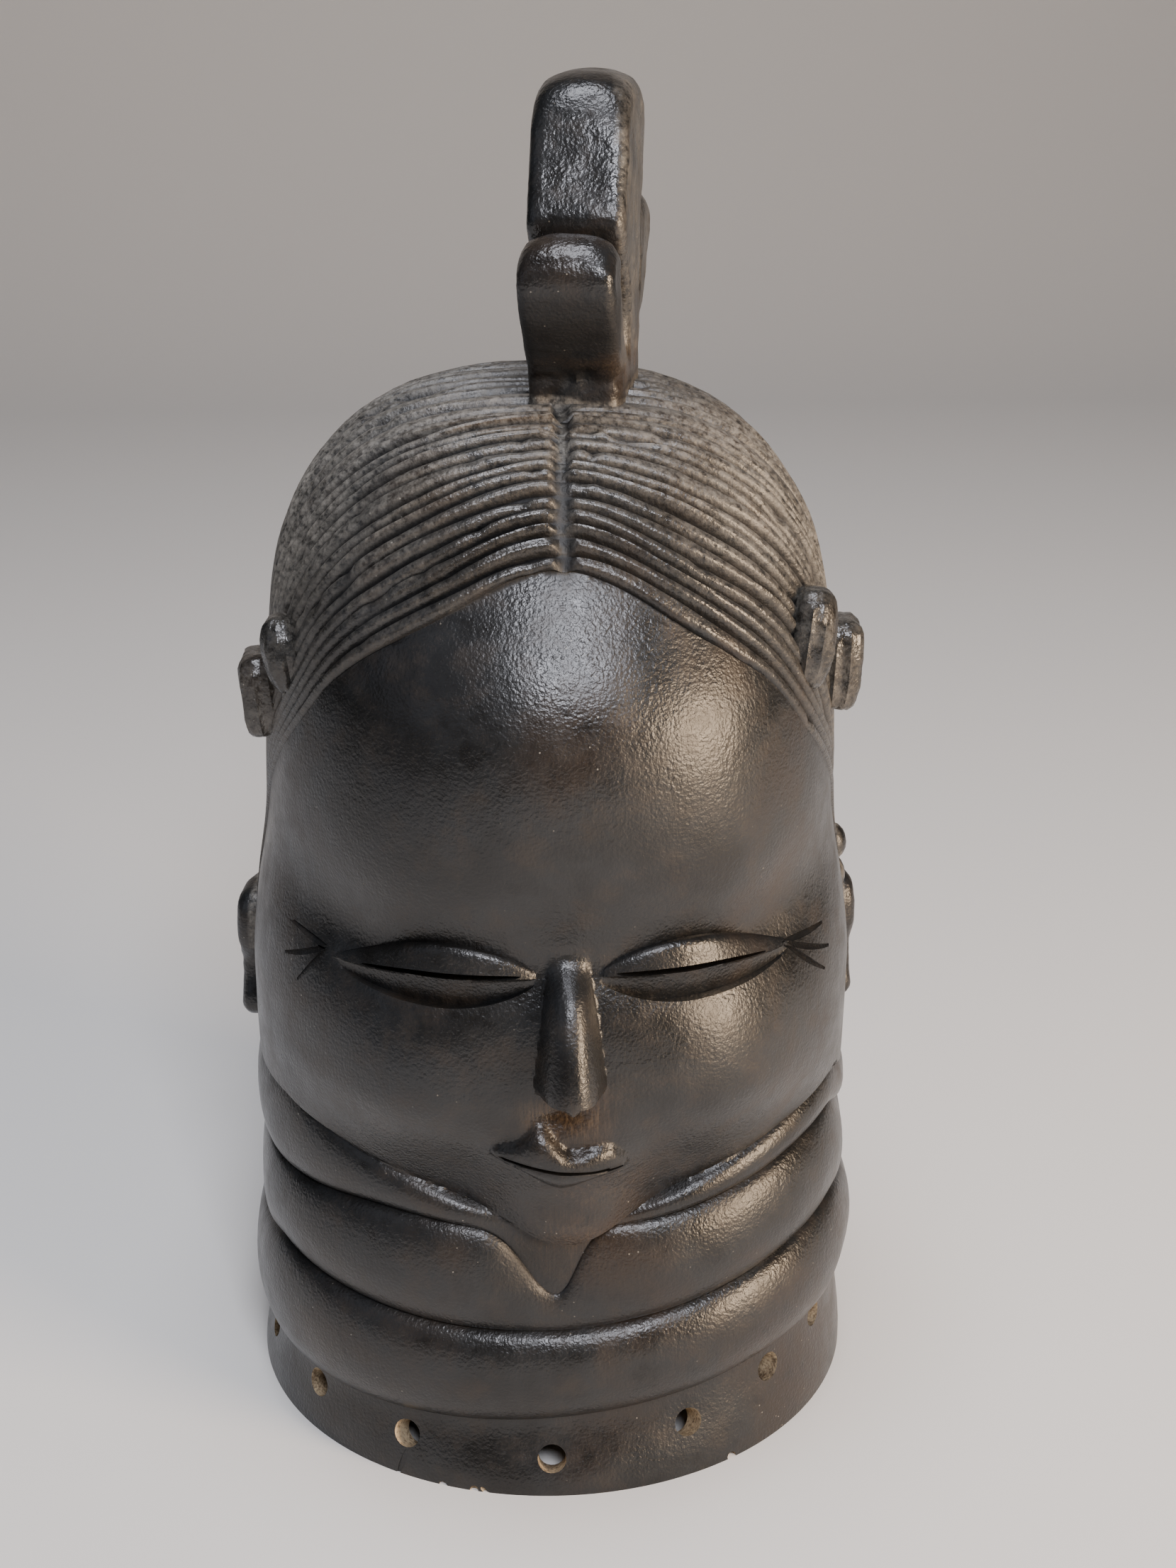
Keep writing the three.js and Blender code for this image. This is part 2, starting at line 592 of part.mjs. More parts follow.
function slitForm(side) {
  const shape = new THREE.Shape();
  const steps = 8;
  const at = (i) => mix(slitInner, slitOuter, i / steps);
  const open = (i) => 0.15 + (slitOpening / 2) * Math.sin((Math.PI * i) / steps);
  for (let i = 0; i <= steps; i += 1) {
    const x = at(i);
    if (i === 0) shape.moveTo(side * x, slitHeight(x) - open(i));
    else shape.lineTo(side * x, slitHeight(x) - open(i));
  }
  for (let i = steps; i >= 0; i -= 1) shape.lineTo(side * at(i), slitHeight(at(i)) + open(i));
  const made = new THREE.ExtrudeGeometry(shape, { depth: faceReach + 20, bevelEnabled: false, steps: 1 });
  made.rotateX(Math.PI / 2);
  made.translate(0, -20, 0);
  return made;
}

// Closed mesh to solid and back
function solid(geometry) {
  geometry.deleteAttribute('normal');
  geometry.deleteAttribute('uv');
  const merged = mergeVertices(geometry, 1e-4);
  return new wasm.Manifold(new wasm.Mesh({
    numProp: 3,
    vertProperties: new Float32Array(merged.attributes.position.array),
    triVerts: new Uint32Array(merged.index.array),
  }));
}

function toGeometry(form) {
  const mesh = form.getMesh();
  const made = new THREE.BufferGeometry();
  made.setAttribute('position', new THREE.BufferAttribute(new Float32Array(mesh.vertProperties), 3));
  made.setIndex(new THREE.BufferAttribute(new Uint32Array(mesh.triVerts), 1));
  made.computeVertexNormals();
  return made;
}

function helmetMask() {
  let form = solid(outerForm());
  const knots = [...knotForms(knotRolls.left), ...knotForms(knotRolls.right)];
  const added = [...crestForms(), ...knots, earForm(-1), earForm(1), ...plaitForms()];
  added.forEach((piece) => { form = form.add(solid(piece)); });
  const cuts = [hollowForm(), earHollow(-1), earHollow(1), slitForm(-1), slitForm(1), ...lashHoles()];
  cuts.forEach((piece) => { form = form.subtract(solid(piece)); });
  return toGeometry(form);
}

const stainedWood = new THREE.MeshStandardMaterial({ color: 0x1c1713, roughness: 0.45, metalness: 0 });
const mask = new THREE.Mesh(helmetMask(), stainedWood);
mask.name = 'helmet_mask';

// The origin is under the middle of the outline, on the surface that the rim stands on
mask.geometry.computeBoundingBox();
const middle = mask.geometry.boundingBox.getCenter(new THREE.Vector3());
mask.position.set(-middle.x, -middle.y, 0);

const soweiMask = new THREE.Group();
soweiMask.add(mask);

export default soweiMask;
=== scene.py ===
import math

import bmesh
import bpy
import numpy as np
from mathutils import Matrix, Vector


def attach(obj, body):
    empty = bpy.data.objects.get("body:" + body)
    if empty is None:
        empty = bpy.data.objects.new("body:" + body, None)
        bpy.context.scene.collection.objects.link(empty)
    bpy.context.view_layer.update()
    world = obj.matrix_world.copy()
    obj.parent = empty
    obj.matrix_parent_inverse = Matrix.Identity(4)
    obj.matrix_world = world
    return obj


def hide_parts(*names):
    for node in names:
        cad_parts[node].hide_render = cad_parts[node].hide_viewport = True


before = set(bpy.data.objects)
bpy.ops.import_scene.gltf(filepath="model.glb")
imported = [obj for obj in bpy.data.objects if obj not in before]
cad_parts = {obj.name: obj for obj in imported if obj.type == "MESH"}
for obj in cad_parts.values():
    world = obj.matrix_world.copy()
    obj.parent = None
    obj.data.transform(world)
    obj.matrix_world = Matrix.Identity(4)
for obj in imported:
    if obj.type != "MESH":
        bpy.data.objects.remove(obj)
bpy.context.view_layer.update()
degree = math.pi / 180

# the mask is worked in millimetres and turned to metres when a mesh is made
helmet = {
    "height": 341.0,        # rim to the foot of the crest
    "crownDrop": 3.2,       # the crown beside the crest lies this much lower
    "halfWidth": 98.0,      # at the ears
    "front": 103.0,         # ear line to the face
    "back": 121.0,          # ear line to the back of the head
    "earY": -1.7275,
    "earZ": 0.434 * 341.0,
    "planPower": 2.2,
    "rimPower": 2.0,
    "domePower": 3.2,
    "handWander": 0.28,     # how far the adze left the surface uneven
}
earY, earZ = helmet["earY"], helmet["earZ"]
crownRise = helmet["height"] - helmet["crownDrop"] - earZ


def share(part):
    return part * helmet["height"]


def smooth(value, start, end):
    t = np.clip((value - start) / (end - start), 0.0, 1.0)
    return t * t * (3 - 2 * t)


def hill(offset, spread):
    return np.exp(-((offset / spread) ** 2))


def mix(a, b, t):
    return a + (b - a) * t


def ripple(points, size, seed):  # smooth unevenness from -1 to 1, with bumps about size mm wide
    p = np.asarray(points, dtype=float) / size + seed * 17.31
    cell = np.floor(p).astype(np.int64)
    f = p - cell
    f = f * f * (3 - 2 * f)
    total = np.zeros(len(p))
    for corner in range(8):
        step = np.array([corner & 1, (corner >> 1) & 1, (corner >> 2) & 1])
        at = cell + step
        n = (at[:, 0] * 73856093) ^ (at[:, 1] * 19349663) ^ (at[:, 2] * 83492791) ^ (seed * 40503)
        n = (n & 0xFFFFFFFF) * 1274126177 & 0xFFFFFFFF
        n = (n ^ (n >> 15)) * 2246822519 & 0xFFFFFFFF
        value = ((n >> 9) & 0xFFFF) / 32767.5 - 1
        weight = np.prod(np.where(step == 1, f, 1 - f), axis=1)
        total += weight * value
    return total


def sectionRadius(dx, dy, half, front, back, power=helmet["planPower"]):
    reach = np.where(dy < 0, front, back)
    total = np.abs(dx / half) ** power + np.abs(dy / reach) ** power
    return total ** (-1 / power)


def domeRadius(dx, dy, dz, half, front, back, rise):
    reach = np.where(dy < 0, front, back)
    flat = np.abs(dx / half) ** helmet["planPower"] + np.abs(dy / reach) ** helmet["planPower"]
    total = flat ** (helmet["domePower"] / helmet["planPower"]) + np.abs(dz / rise) ** helmet["domePower"]
    return total ** (-1 / helmet["domePower"])


def meshObject(name, points, faces, material=None, edges=()):
    mesh = bpy.data.meshes.new(name)
    mesh.from_pydata([tuple(p) for p in np.asarray(points, dtype=float) / 1000], list(edges), faces)
    mesh.update()
    made = bpy.data.objects.new(name, mesh)
    bpy.context.collection.objects.link(made)
    if material:
        mesh.materials.append(material)
    return made


def readVectors(made, field):
    flat = np.empty(len(made.data.vertices) * 3)
    made.data.vertices.foreach_get(field, flat)
    return flat.reshape(-1, 3)


def readPoints(made):  # its vertices in millimetres
    return readVectors(made, "co") * 1000


def writePoints(made, points):
    made.data.vertices.foreach_set("co", (np.asarray(points) / 1000).ravel())
    made.data.update()


def storeValues(made, name, kind, field, values):
    attribute = made.data.attributes.new(name, kind, "POINT")
    attribute.data.foreach_set(field, values)


def spun(points, i, j, angle):  # turned from axis i towards axis j
    c, s = math.cos(angle), math.sin(angle)
    turned = points.copy()
    turned[:, i] = points[:, i] * c - points[:, j] * s
    turned[:, j] = points[:, i] * s + points[:, j] * c
    return turned


def applyModifiers(made):
    graph = bpy.context.evaluated_depsgraph_get()
    mesh = bpy.data.meshes.new_from_object(made.evaluated_get(graph))
    made.modifiers.clear()
    old = made.data
    made.data = mesh
    bpy.data.meshes.remove(old)


def evened(made, voxel):  # remade of even small faces, and softened
    remesh = made.modifiers.new("even", "REMESH")
    remesh.mode = "VOXEL"
    remesh.voxel_size = voxel / 1000
    soften = made.modifiers.new("soften", "SMOOTH")
    soften.factor, soften.iterations = 0.5, 3
    applyModifiers(made)


def woods(made):
    return [m.name if m else "none" for m in made.data.materials]


def carve(body, tool, operation):  # joins tool to body or cuts it out, and throws the tool away
    modifier = body.modifiers.new("carve", "BOOLEAN")
    modifier.operation = operation
    modifier.solver = "MANIFOLD"
    modifier.material_mode = "TRANSFER"
    modifier.object = tool
    before = len(body.data.vertices)
    print("  ", operation.lower(), tool.name, woods(tool))
    applyModifiers(body)
    bpy.data.objects.remove(tool)
    print("  ", before, "->", len(body.data.vertices), "vertices", woods(body))


# materials are made first, because cut faces take the material of the tool that cut them
def linear(hexColour):
    parts = [int(hexColour[i:i + 2], 16) / 255 for i in (1, 3, 5)]
    return [c / 12.92 if c <= 0.04045 else ((c + 0.055) / 1.055) ** 2.4 for c in parts] + [1.0]


def node(tree, kind, links=None, **settings):  # adds one node with its settings and links
    made = tree.nodes.new(kind)
    for key, value in settings.items():
        if key.startswith("in_"):
            made.inputs[key[3:].replace("_", " ")].default_value = value
        else:
            setattr(made, key, value)
    for socket, source in (links or {}).items():
        tree.links.new(source, made.inputs[socket])
    return made


def colourSteps(tree, factor, stops):
    ramp = node(tree, "ShaderNodeValToRGB", {"Fac": factor})
    elements = ramp.color_ramp.elements
    while len(elements) < len(stops):
        elements.new(0.5)
    for element, (position, colour) in zip(elements, stops):
        element.position = position
        element.color = linear(colour) if isinstance(colour, str) else [colour, colour, colour, 1.0]
    return ramp.outputs["Color"]


def newMaterial(name):
    material = bpy.data.materials.new(name)
    material.use_nodes = True
    tree = material.node_tree
    tree.nodes.clear()
    shader = node(tree, "ShaderNodeBsdfPrincipled")
    output = node(tree, "ShaderNodeOutputMaterial", {"Surface": shader.outputs["BSDF"]})
    output.location = (400, 0)
    return material, tree, shader


stain = {
    "dark": "#100f0e",      # palm-oil black, worked in over years
    "cool": "#1b1c1d",      # where the black is rubbed thin
    "warm": "#241d17",      # wood that shows through the stain
    "bare": "#33281e",      # hardly stained wood under the nose, the lips and the crest
    "dust": "#868178",      # pale dust and old grease on the hair
    "painted_shade": "#060505",      # painted shade: near black for grooves, gaps and undersides in shadow
    "grainWidth": 0.7,      # mm, pores of a close hardwood
    "pebbleSize": 1.0,      # mm, the pebbled skin of the old oil finish
    "lumpSize": 3.0,        # mm, marks of the finishing blade
    "roughness": 0.31,
}


def masked(tree, base, colour, amount):  # base colour with another laid over it by amount
    over = node(tree, "ShaderNodeMix", {"Factor": amount}, data_type="RGBA")
    tree.links.new(base, over.inputs[6])
    over.inputs[7].default_value = linear(colour)
    return over.outputs[2]


def maths(tree, operation, *terms, **settings):  # each term is a socket or a number
    made = node(tree, "ShaderNodeMath", operation=operation, **settings)
    for slot, term in zip(made.inputs, terms):
        if isinstance(term, (int, float)):
            slot.default_value = term
        else:
            tree.links.new(term, slot)
    return made.outputs[0]


def times(tree, a, b):  # product of two values, kept between 0 and 1
    return maths(tree, "MULTIPLY", a, b, use_clamp=True)


def noise(tree, place, size, detail=3.0, roughness=0.55):  # size in millimetres
    return node(tree, "ShaderNodeTexNoise", {"Vector": place}, in_Scale=1000 / size, in_Detail=detail,
                in_Roughness=roughness).outputs["Fac"]


def drawnOut(tree, place, squash):  # place with the upright direction pressed together, for long grain
    made = node(tree, "ShaderNodeMapping", {"Vector": place})
    made.inputs["Scale"].default_value = (1.0, 1.0, squash)
    return made.outputs["Vector"]


def finishWood(tree, shader, colour, roughness, height, strength, depth):
    tree.links.new(colour, shader.inputs["Base Color"])
    shader.inputs["Roughness"].default_value = roughness
    bump = node(tree, "ShaderNodeBump", {"Height": height}, in_Strength=strength, in_Distance=depth)
    tree.links.new(bump.outputs["Normal"], shader.inputs["Normal"])


def darkStainedWood():  # oiled hardwood: near black, satin, with a pebbled skin over fine upright grain
    material, tree, shader = newMaterial("dark_stained_wood")
    place = node(tree, "ShaderNodeTexCoord").outputs["Object"]
    upright = drawnOut(tree, place, 0.06)
    masks = {}
    for key in ("dust", "bare", "worn", "painted_shade"):
        mask = node(tree, "ShaderNodeAttribute", attribute_name=key, attribute_type="GEOMETRY")
        masks[key] = mask.outputs["Fac"]
    broad = noise(tree, place, 60, 4.0, 0.6)
    patches = noise(tree, place, 13, 6.0, 0.68)
    crumbs = noise(tree, place, 2.2, 4.0, 0.7)
    grain = noise(tree, upright, stain["grainWidth"])
    pebble = noise(tree, place, stain["pebbleSize"], 1.5, 0.5)
    lumps = noise(tree, place, stain["lumpSize"], 2.0, 0.5)
    speck = node(tree, "ShaderNodeTexVoronoi", {"Vector": place}, in_Scale=1000 / 4.5).outputs["Distance"]

    colour = colourSteps(tree, broad, [(0.38, stain["dark"]), (0.5, stain["cool"]), (0.66, stain["warm"])])
    rubbed = colourSteps(tree, patches, [(0.5, 0.0), (0.66, 1.0)])
    colour = masked(tree, colour, "#332a21", times(tree, rubbed, 0.3))
    unrubbed = colourSteps(tree, patches, [(0.33, 1.0), (0.45, 0.0)])
    colour = masked(tree, colour, stain["dark"], times(tree, unrubbed, 0.8))
    thin = times(tree, masks["bare"], colourSteps(tree, patches, [(0.3, 0.35), (0.55, 1.0)]))
    colour = masked(tree, colour, stain["bare"], thin)
    fibre = times(tree, thin, colourSteps(tree, grain, [(0.45, 0.0), (0.6, 0.6)]))
    colour = masked(tree, colour, "#5c4c39", fibre)
    loose = colourSteps(tree, crumbs, [(0.36, 0.1), (0.62, 1.0)])
    dusty = times(tree, masks["dust"], loose)
    colour = masked(tree, colour, stain["dust"], dusty)
    # painted shade: near black laid into grooves, the mouth gap, under the chin and on the crest's lower front
    colour = masked(tree, colour, stain["painted_shade"], masks["painted_shade"])
    specks = times(tree, colourSteps(tree, speck, [(0.03, 1.0), (0.07, 0.0)]),
                   colourSteps(tree, broad, [(0.46, 0.0), (0.56, 1.0)]))
    colour = masked(tree, colour, "#8b867c", times(tree, specks, 0.8))
    tree.links.new(colour, shader.inputs["Base Color"])

    # worn tops shine; dust and the painted shade are dull
    sheen = node(tree, "ShaderNodeMapRange", {"Value": patches}, in_From_Min=0.3, in_From_Max=0.7,
                 in_To_Min=stain["roughness"] - 0.06, in_To_Max=stain["roughness"] + 0.12).outputs[0]
    shined = maths(tree, "MULTIPLY_ADD", masks["worn"], -0.1, sheen)
    dulled = maths(tree, "MULTIPLY_ADD", dusty, 0.25, shined)
    # rougher where shade is painted, so no highlight shows there
    shadeDulled = maths(tree, "MULTIPLY_ADD", masks["painted_shade"], 0.4, dulled)
    tree.links.new(shadeDulled, shader.inputs["Roughness"])
    shader.inputs["IOR"].default_value = 1.5

    fine = maths(tree, "MULTIPLY_ADD", grain, 0.3, pebble)
    pebbled = node(tree, "ShaderNodeBump", {"Height": fine}, in_Strength=0.8, in_Distance=0.00024)
    strength = node(tree, "ShaderNodeMapRange", {"Value": masks["worn"]}, in_From_Min=0.0, in_From_Max=1.0,
                    in_To_Min=0.25, in_To_Max=1.0)
    bump = node(tree, "ShaderNodeBump", {
        "Height": lumps, "Strength": strength.outputs[0], "Normal": pebbled.outputs["Normal"]},
        in_Distance=0.0005)
    tree.links.new(bump.outputs["Normal"], shader.inputs["Normal"])
    return material


def bareWood():  # cut hardwood inside the lashing holes: pale, dry and rough
    material, tree, shader = newMaterial("bare_cut_wood")
    place = node(tree, "ShaderNodeTexCoord").outputs["Object"]
    fibre = noise(tree, place, 0.9, 4.0, 0.5)
    grime = noise(tree, place, 7, 3.0, 0.5)
    tone = maths(tree, "MULTIPLY", fibre, grime)
    colour = colourSteps(tree, tone, [(0.14, "#5a4a37"), (0.34, "#b8a688")])
    finishWood(tree, shader, colour, 0.85, fibre, 0.7, 0.0003)
    return material


def innerWood():  # adzed hollow, unpolished and darkened by handling: brown black and matt
    material, tree, shader = newMaterial("adzed_inner_wood")
    place = node(tree, "ShaderNodeTexCoord").outputs["Object"]
    grain = noise(tree, drawnOut(tree, place, 0.08), 1.4, 4.0, 0.5)
    facets = node(tree, "ShaderNodeTexVoronoi", {"Vector": place}, in_Scale=1000 / 16)
    tone = maths(tree, "ADD", grain, facets.outputs["Distance"])
    colour = colourSteps(tree, tone, [(0.55, "#171310"), (1.0, "#33271d")])
    finishWood(tree, shader, colour, 0.7, tone, 0.6, 0.0005)
    return material


stainedWood = darkStainedWood()
cutWood = bareWood()
hollowWood = innerWood()
print("materials made")


# the neck: a plain skirt at the rim, two broad rings, and a narrow roll under the jaw
neck = {
    "rimHalf": 102.5, "rimFront": 98.0, "rimBack": 113.0,
    "half": 98.0, "front": 90.0, "back": 109.0,
    "lowRing": (7.0, 5.5),  # how far it stands out in front, and under the ears
    "highRing": (6.0, 2.0), "jawRoll": 3.5,
    "notch": 23.0,          # depth of the point that the high ring dips to under the chin
}


def flank(azimuth, start, end):
    return smooth(np.abs(azimuth), start, end)


def skirtTop(a):
    front = 23 + 13 * hill(a - 62, 46) + 10 * smooth(a, 60, 82)
    return mix(front, 24, flank(a, 100, 170))


def lowRingTop(a):
    climb = np.where(a < 0, 8 * smooth(-a, 10, 75), 17.5 * smooth(a, -4, 74)) - 7 * flank(a, 62, 84)
    return mix(57.5 + climb, 67, flank(a, 84, 150))


def rollBottom(a):
    right = 93.3 + 16.5 * smooth(a, 5, 75) - 11 * smooth(a, 60, 80)
    front = np.where(a < 0, 93.5 + 3 * hill(a + 38, 16), right)
    notch = neck["notch"] * hill(a + 2.2, np.where(a < -2.2, 8.5, 5.5))
    return mix(front - notch, 104, flank(a, 84, 150))


def jawLine(a):
    front = 84 + 39 * (np.sqrt(np.minimum(a * a, 3600) + 16) / 60) ** 0.7 - 9 * smooth(a, 60, 80)
    return mix(front, 118, flank(a, 84, 130))


def underEar(a, rises):
    return mix(rises[0], rises[1], hill(np.abs(a) - 90, 32))


def roll(z, low, high, rise):
    t = np.clip((z - low) / (high - low), 0, 1)
    return rise * np.sqrt(np.maximum(0, 1 - (2 * t - 1) ** 2)) ** 1.2


face = {
    "slitInner": 16.0, "slitOuter": 57.0, "slitOpening": 3.2,
    "lidHeight": (9.5, 8.5), "lidRise": 4.2,
    "lowerLid": (2.0, -4.5),                     # proud at the slit, cut back at the cheek
    "noseTop": share(0.566), "noseTip": share(0.441), "noseRise": 14.4,
    "lipTop": share(0.4135), "mouth": share(0.37), "lipBottom": share(0.316),
    "mouthHalf": 20.0, "mouthShift": -3.0, "mouthSlant": 0.125,
    "chin": share(0.261), "chinTuck": 13.0, "napeTuck": 7.0,
}
eyeInner, eyeOuter = face["slitInner"] - 6, face["slitOuter"] + 13


def eyeShare(x):
    return np.clip((np.abs(x) - eyeInner) / (eyeOuter - eyeInner), 0, 1)


def eyeArch(x):
    return np.sin(np.pi * eyeShare(x) ** 0.9) ** 0.75


def slitHeight(x):
    return share(0.5455) - 1.5 * eyeShare(x) - 5.5 * smooth(np.abs(x), 40, 95)


def upperLid(x):
    return slitHeight(x) + 1.2 + face["lidHeight"][0] * eyeArch(x)


def lowerLid(x):
    return slitHeight(x) - 1.2 - face["lidHeight"][1] * eyeArch(x)


def eyeRelief(x, z):  # upper lid: a proud band; lower lid: slopes back from the slit to a step at the cheek
    slit, arch = slitHeight(x), eyeArch(x)
    up = np.clip((z - slit) / (upperLid(x) - slit), 0, 1)
    down = np.clip((slit - z) / (slit - lowerLid(x)), 0, 1)
    upper = arch * (1.0 + face["lidRise"] * np.sqrt(np.maximum(0, 1 - up ** 4)))
    lower = arch * mix(*face["lowerLid"], down ** 0.8)
    inside = (z < upperLid(x)) & (z > lowerLid(x)) & (np.abs(x) > eyeInner) & (np.abs(x) < eyeOuter)
    return np.where(inside, np.where(z >= slit, upper, lower), 0.0)


def noseRelief(x, z):  # a straight wedge, widest at the bottom, cut off in a shallow point
    top, tip = face["noseTop"], face["noseTip"]
    t = np.clip((top - z) / (top - tip), 0, 1)
    height = mix(4, face["noseRise"], t ** 0.85) * smooth(top - z, -5.0, 14)
    away = np.clip(np.abs(x) / mix(6.5, 10.8, t ** 1.1), 0, 1)
    edge = tip + 0.31 * np.abs(x)
    return height * (1 - away ** 2.3) * smooth(z, edge - 3.2, edge - 0.4)


def mouthLine(x):
    side = np.clip(1 - np.abs(x) / face["mouthHalf"], 0, 1)
    return face["mouth"] + 0.8 * (1 - side) ** 2 - face["mouthSlant"] * x


def mouthRelief(x, z):  # x from the middle of the mouth; the upper lip is highest to the left of the nose
    side = np.clip(1 - np.abs(x) / face["mouthHalf"], 0, 1)
    line = mouthLine(x)
    full = np.clip(side * 4, 0, 1) ** 0.5
    upTo = (4.5 + 8.5 * hill(x + 5.5, 5.5) + 3.5 * hill(x - 12.5, 8)) * full
    downTo = (3 + 7 * hill(x, 8)) * full
    up = np.clip((z - line) / np.maximum(upTo, 0.1), 0, 1)
    down = np.clip((line - z) / np.maximum(downTo, 0.1), 0, 1)
    upper = 6.0 * np.maximum(0, 1 - up ** 2.2) ** 0.75
    lower = 6.0 * np.maximum(0, 1 - ((down - 0.35) / 0.65) ** 2) ** 0.8
    return np.where(side > 0, side ** 0.35 * np.where(z >= line, upper, lower), 0.0)


def foreheadRelief(x, z):
    return 8 * hill(x, 64) * hill(z - share(0.726), 38)


def faceRelief(x, z):
    wide = np.abs(x)
    forehead = foreheadRelief(x, z) - 2.4 * smooth(z, share(0.746), share(0.8675))
    hollow = -7.5 * hill(z - share(0.567), 17) * (1 - smooth(wide, 62, 92))
    cheek = 4.5 * hill(wide - 44, 25) * hill(z - share(0.434), 25)
    taper = -6 * smooth(share(0.424) - z, 0, 48) * smooth(wide, 8, 36) * (1 - smooth(wide, 70, 95))
    muzzle = 5 * hill(x, 19) * hill(z - share(0.373), 23)
    lipGroove = -3.5 * hill(x - face["mouthShift"], 9) * hill(z - face["lipTop"] - 3, 6)
    chin = 4.5 * hill(x, 13) * hill(z - face["chin"] - 9, 10)
    return (forehead + hollow + cheek + taper + muzzle + lipGroove + chin
            + eyeRelief(x, z) + noseRelief(x, z) + mouthRelief(x - face["mouthShift"], z))


def temple(z):  # the sides are drawn in at the temples and above them, and full again at the crown
    sides = share(0.78)
    waist = -4 * hill(z - share(0.605), 30) - 13 * hill(z - sides, np.where(z < sides, 52, 30))
    return waist + 1.5 * hill(z - share(0.8675), 20)


hair = {
    "foot": 80, "heel": 112,    # degrees of lift of the foot and of the heel of the crest
    "front": 14, "crown": 13, "back": 13,            # ridges in each stretch
    "depth": 3.3,           # ridge top to groove
    "top": 0.36,            # share of it above the plain surface
    "parting": 1.5,
    "partingDrift": 2.5,    # mm, towards +X at the crest
}


def turnUp(bearing):
    return smooth(np.abs(bearing), 28 * degree, 80 * degree)


def hairlineLift(bearing):
    return (58 + 4 * hill(bearing, 0.17) - 3 * np.sin(bearing) + 26 * turnUp(bearing)) * degree


def footLift(bearing):
    return (hair["foot"] + 14 * turnUp(bearing)) * degree


def heelLift(bearing):
    return (hair["heel"] + 8 * turnUp(bearing)) * degree


def rimReach(dx, dy):
    return float(sectionRadius(dx, dy, neck["rimHalf"], neck["rimFront"], neck["rimBack"], helmet["rimPower"]))


def lowerPoints(bearing, side, heightAt):
    dx, dy = np.sin(bearing), side * np.cos(bearing)
    azimuth = np.arctan2(dx, -dy) / degree
    z = heightAt(azimuth)
    skirt, ring, fold, jaw = skirtTop(azimuth), lowRingTop(azimuth), rollBottom(azimuth), jawLine(azimuth)
    flare = 1 - smooth(z, 0, skirt)
    tuck = 2 * smooth(z, ring, jaw)
    radius = sectionRadius(dx, dy, mix(neck["half"] - tuck, neck["rimHalf"], flare),
                           mix(neck["front"] - tuck, neck["rimFront"], flare),
                           mix(neck["back"], neck["rimBack"], flare),
                           mix(helmet["planPower"], helmet["rimPower"], flare))
    lowRise = underEar(azimuth, neck["lowRing"])
    highRise = underEar(azimuth, neck["highRing"]) * (1 - 0.7 * hill(azimuth + 2, 13))
    radius += np.where((z > skirt) & (z < ring), roll(z, skirt, ring, lowRise), 0)
    radius += np.where((z >= ring) & (z < fold), roll(z, ring, fold, highRise), 0)
    radius += np.where(z >= fold, roll(z, fold, jaw, neck["jawRoll"] * flank(azimuth, 6, 26)), 0)
    drop = smooth(earZ - z, 0, earZ - face["chin"])
    upper = sectionRadius(dx, dy, helmet["halfWidth"], helmet["front"] - face["chinTuck"] * drop,
                          helmet["back"] - face["napeTuck"] * drop)
    upper = upper + (faceRelief(dx * upper, z) if side < 0 else 0)
    radius = np.where(z < jaw, radius, upper)
    return np.stack([dx * radius, earY + dy * radius, z + 0 * dx], axis=1)


def skin(bearing, lift):
    dx = np.sin(bearing)
    dy = -np.cos(bearing) * np.cos(lift)
    dz = np.cos(bearing) * np.sin(lift)
    radius = domeRadius(dx, dy, dz, helmet["halfWidth"], helmet["front"], helmet["back"], crownRise)
    z = earZ + dz * radius
    radius = radius + temple(z) * smooth(np.abs(dx), 0.3, 0.9) * smooth(z, earZ, earZ + 25)
    return dx, dy, dz, radius


def placed(dx, dy, dz, radius):
    return np.stack([dx * radius, earY + dy * radius, earZ + dz * radius], axis=1)


def facePoints(bearing, lift):
    dx, dy, dz, radius = skin(bearing, lift)
    return placed(dx, dy, dz, radius + faceRelief(dx * radius, earZ + dz * radius))


def hairBase(bearing, lift):  # radius of the hair, half way up its ridges
    dx, dy, dz, radius = skin(bearing, lift)
    z = earZ + dz * radius
    fade = 1 - smooth(z, share(0.8475), share(0.9785))
    bulge = np.where(dy < 0, foreheadRelief(dx * radius, z) * fade, 0)
    return dx, dy, dz, radius + bulge


def partingAt(lift):
    return hair["partingDrift"] * smooth(lift, 66 * degree, 80 * degree)


def hairPoints(bearing, lift, crest, ridge):
    dx, dy, dz, radius = hairBase(bearing, lift)
    x = dx * radius
    fromParting = np.abs(x - partingAt(lift) - 0.5 * np.sin(ridge * 1.7))
    parting = 1 - smooth(fromParting, hair["parting"] * 0.5, hair["parting"] * 2.2)
    spread = np.clip(np.cos(bearing) * 1.15, 0, 1)
    along = np.stack([x, np.full_like(x, np.floor(ridge) * 30.0), np.zeros_like(x)], axis=1)
    uneven = 1 + 0.2 * ripple(along, 19, 3) + 0.12 * ripple(along, 6, 4)
    nicks = 0.55 * smooth(ripple(along, 4.2, 5), 0.35, 0.8)
    height = crest * (1 - nicks) * (1 - parting) - (1 - hair["top"]) + 0.1 * parting
    return placed(dx, dy, dz, radius + hair["depth"] * spread * uneven * height)


def liftAt(bearing, heightAt):
    low, high = np.zeros_like(bearing), np.full_like(bearing, 80 * degree)
    for _ in range(26):
        middle = (low + high) / 2
        dx, dy, dz, radius = skin(bearing, middle)
        under = earZ + dz * radius < heightAt(dx * radius)
        low, high = np.where(under, middle, low), np.where(under, high, middle)
    return low


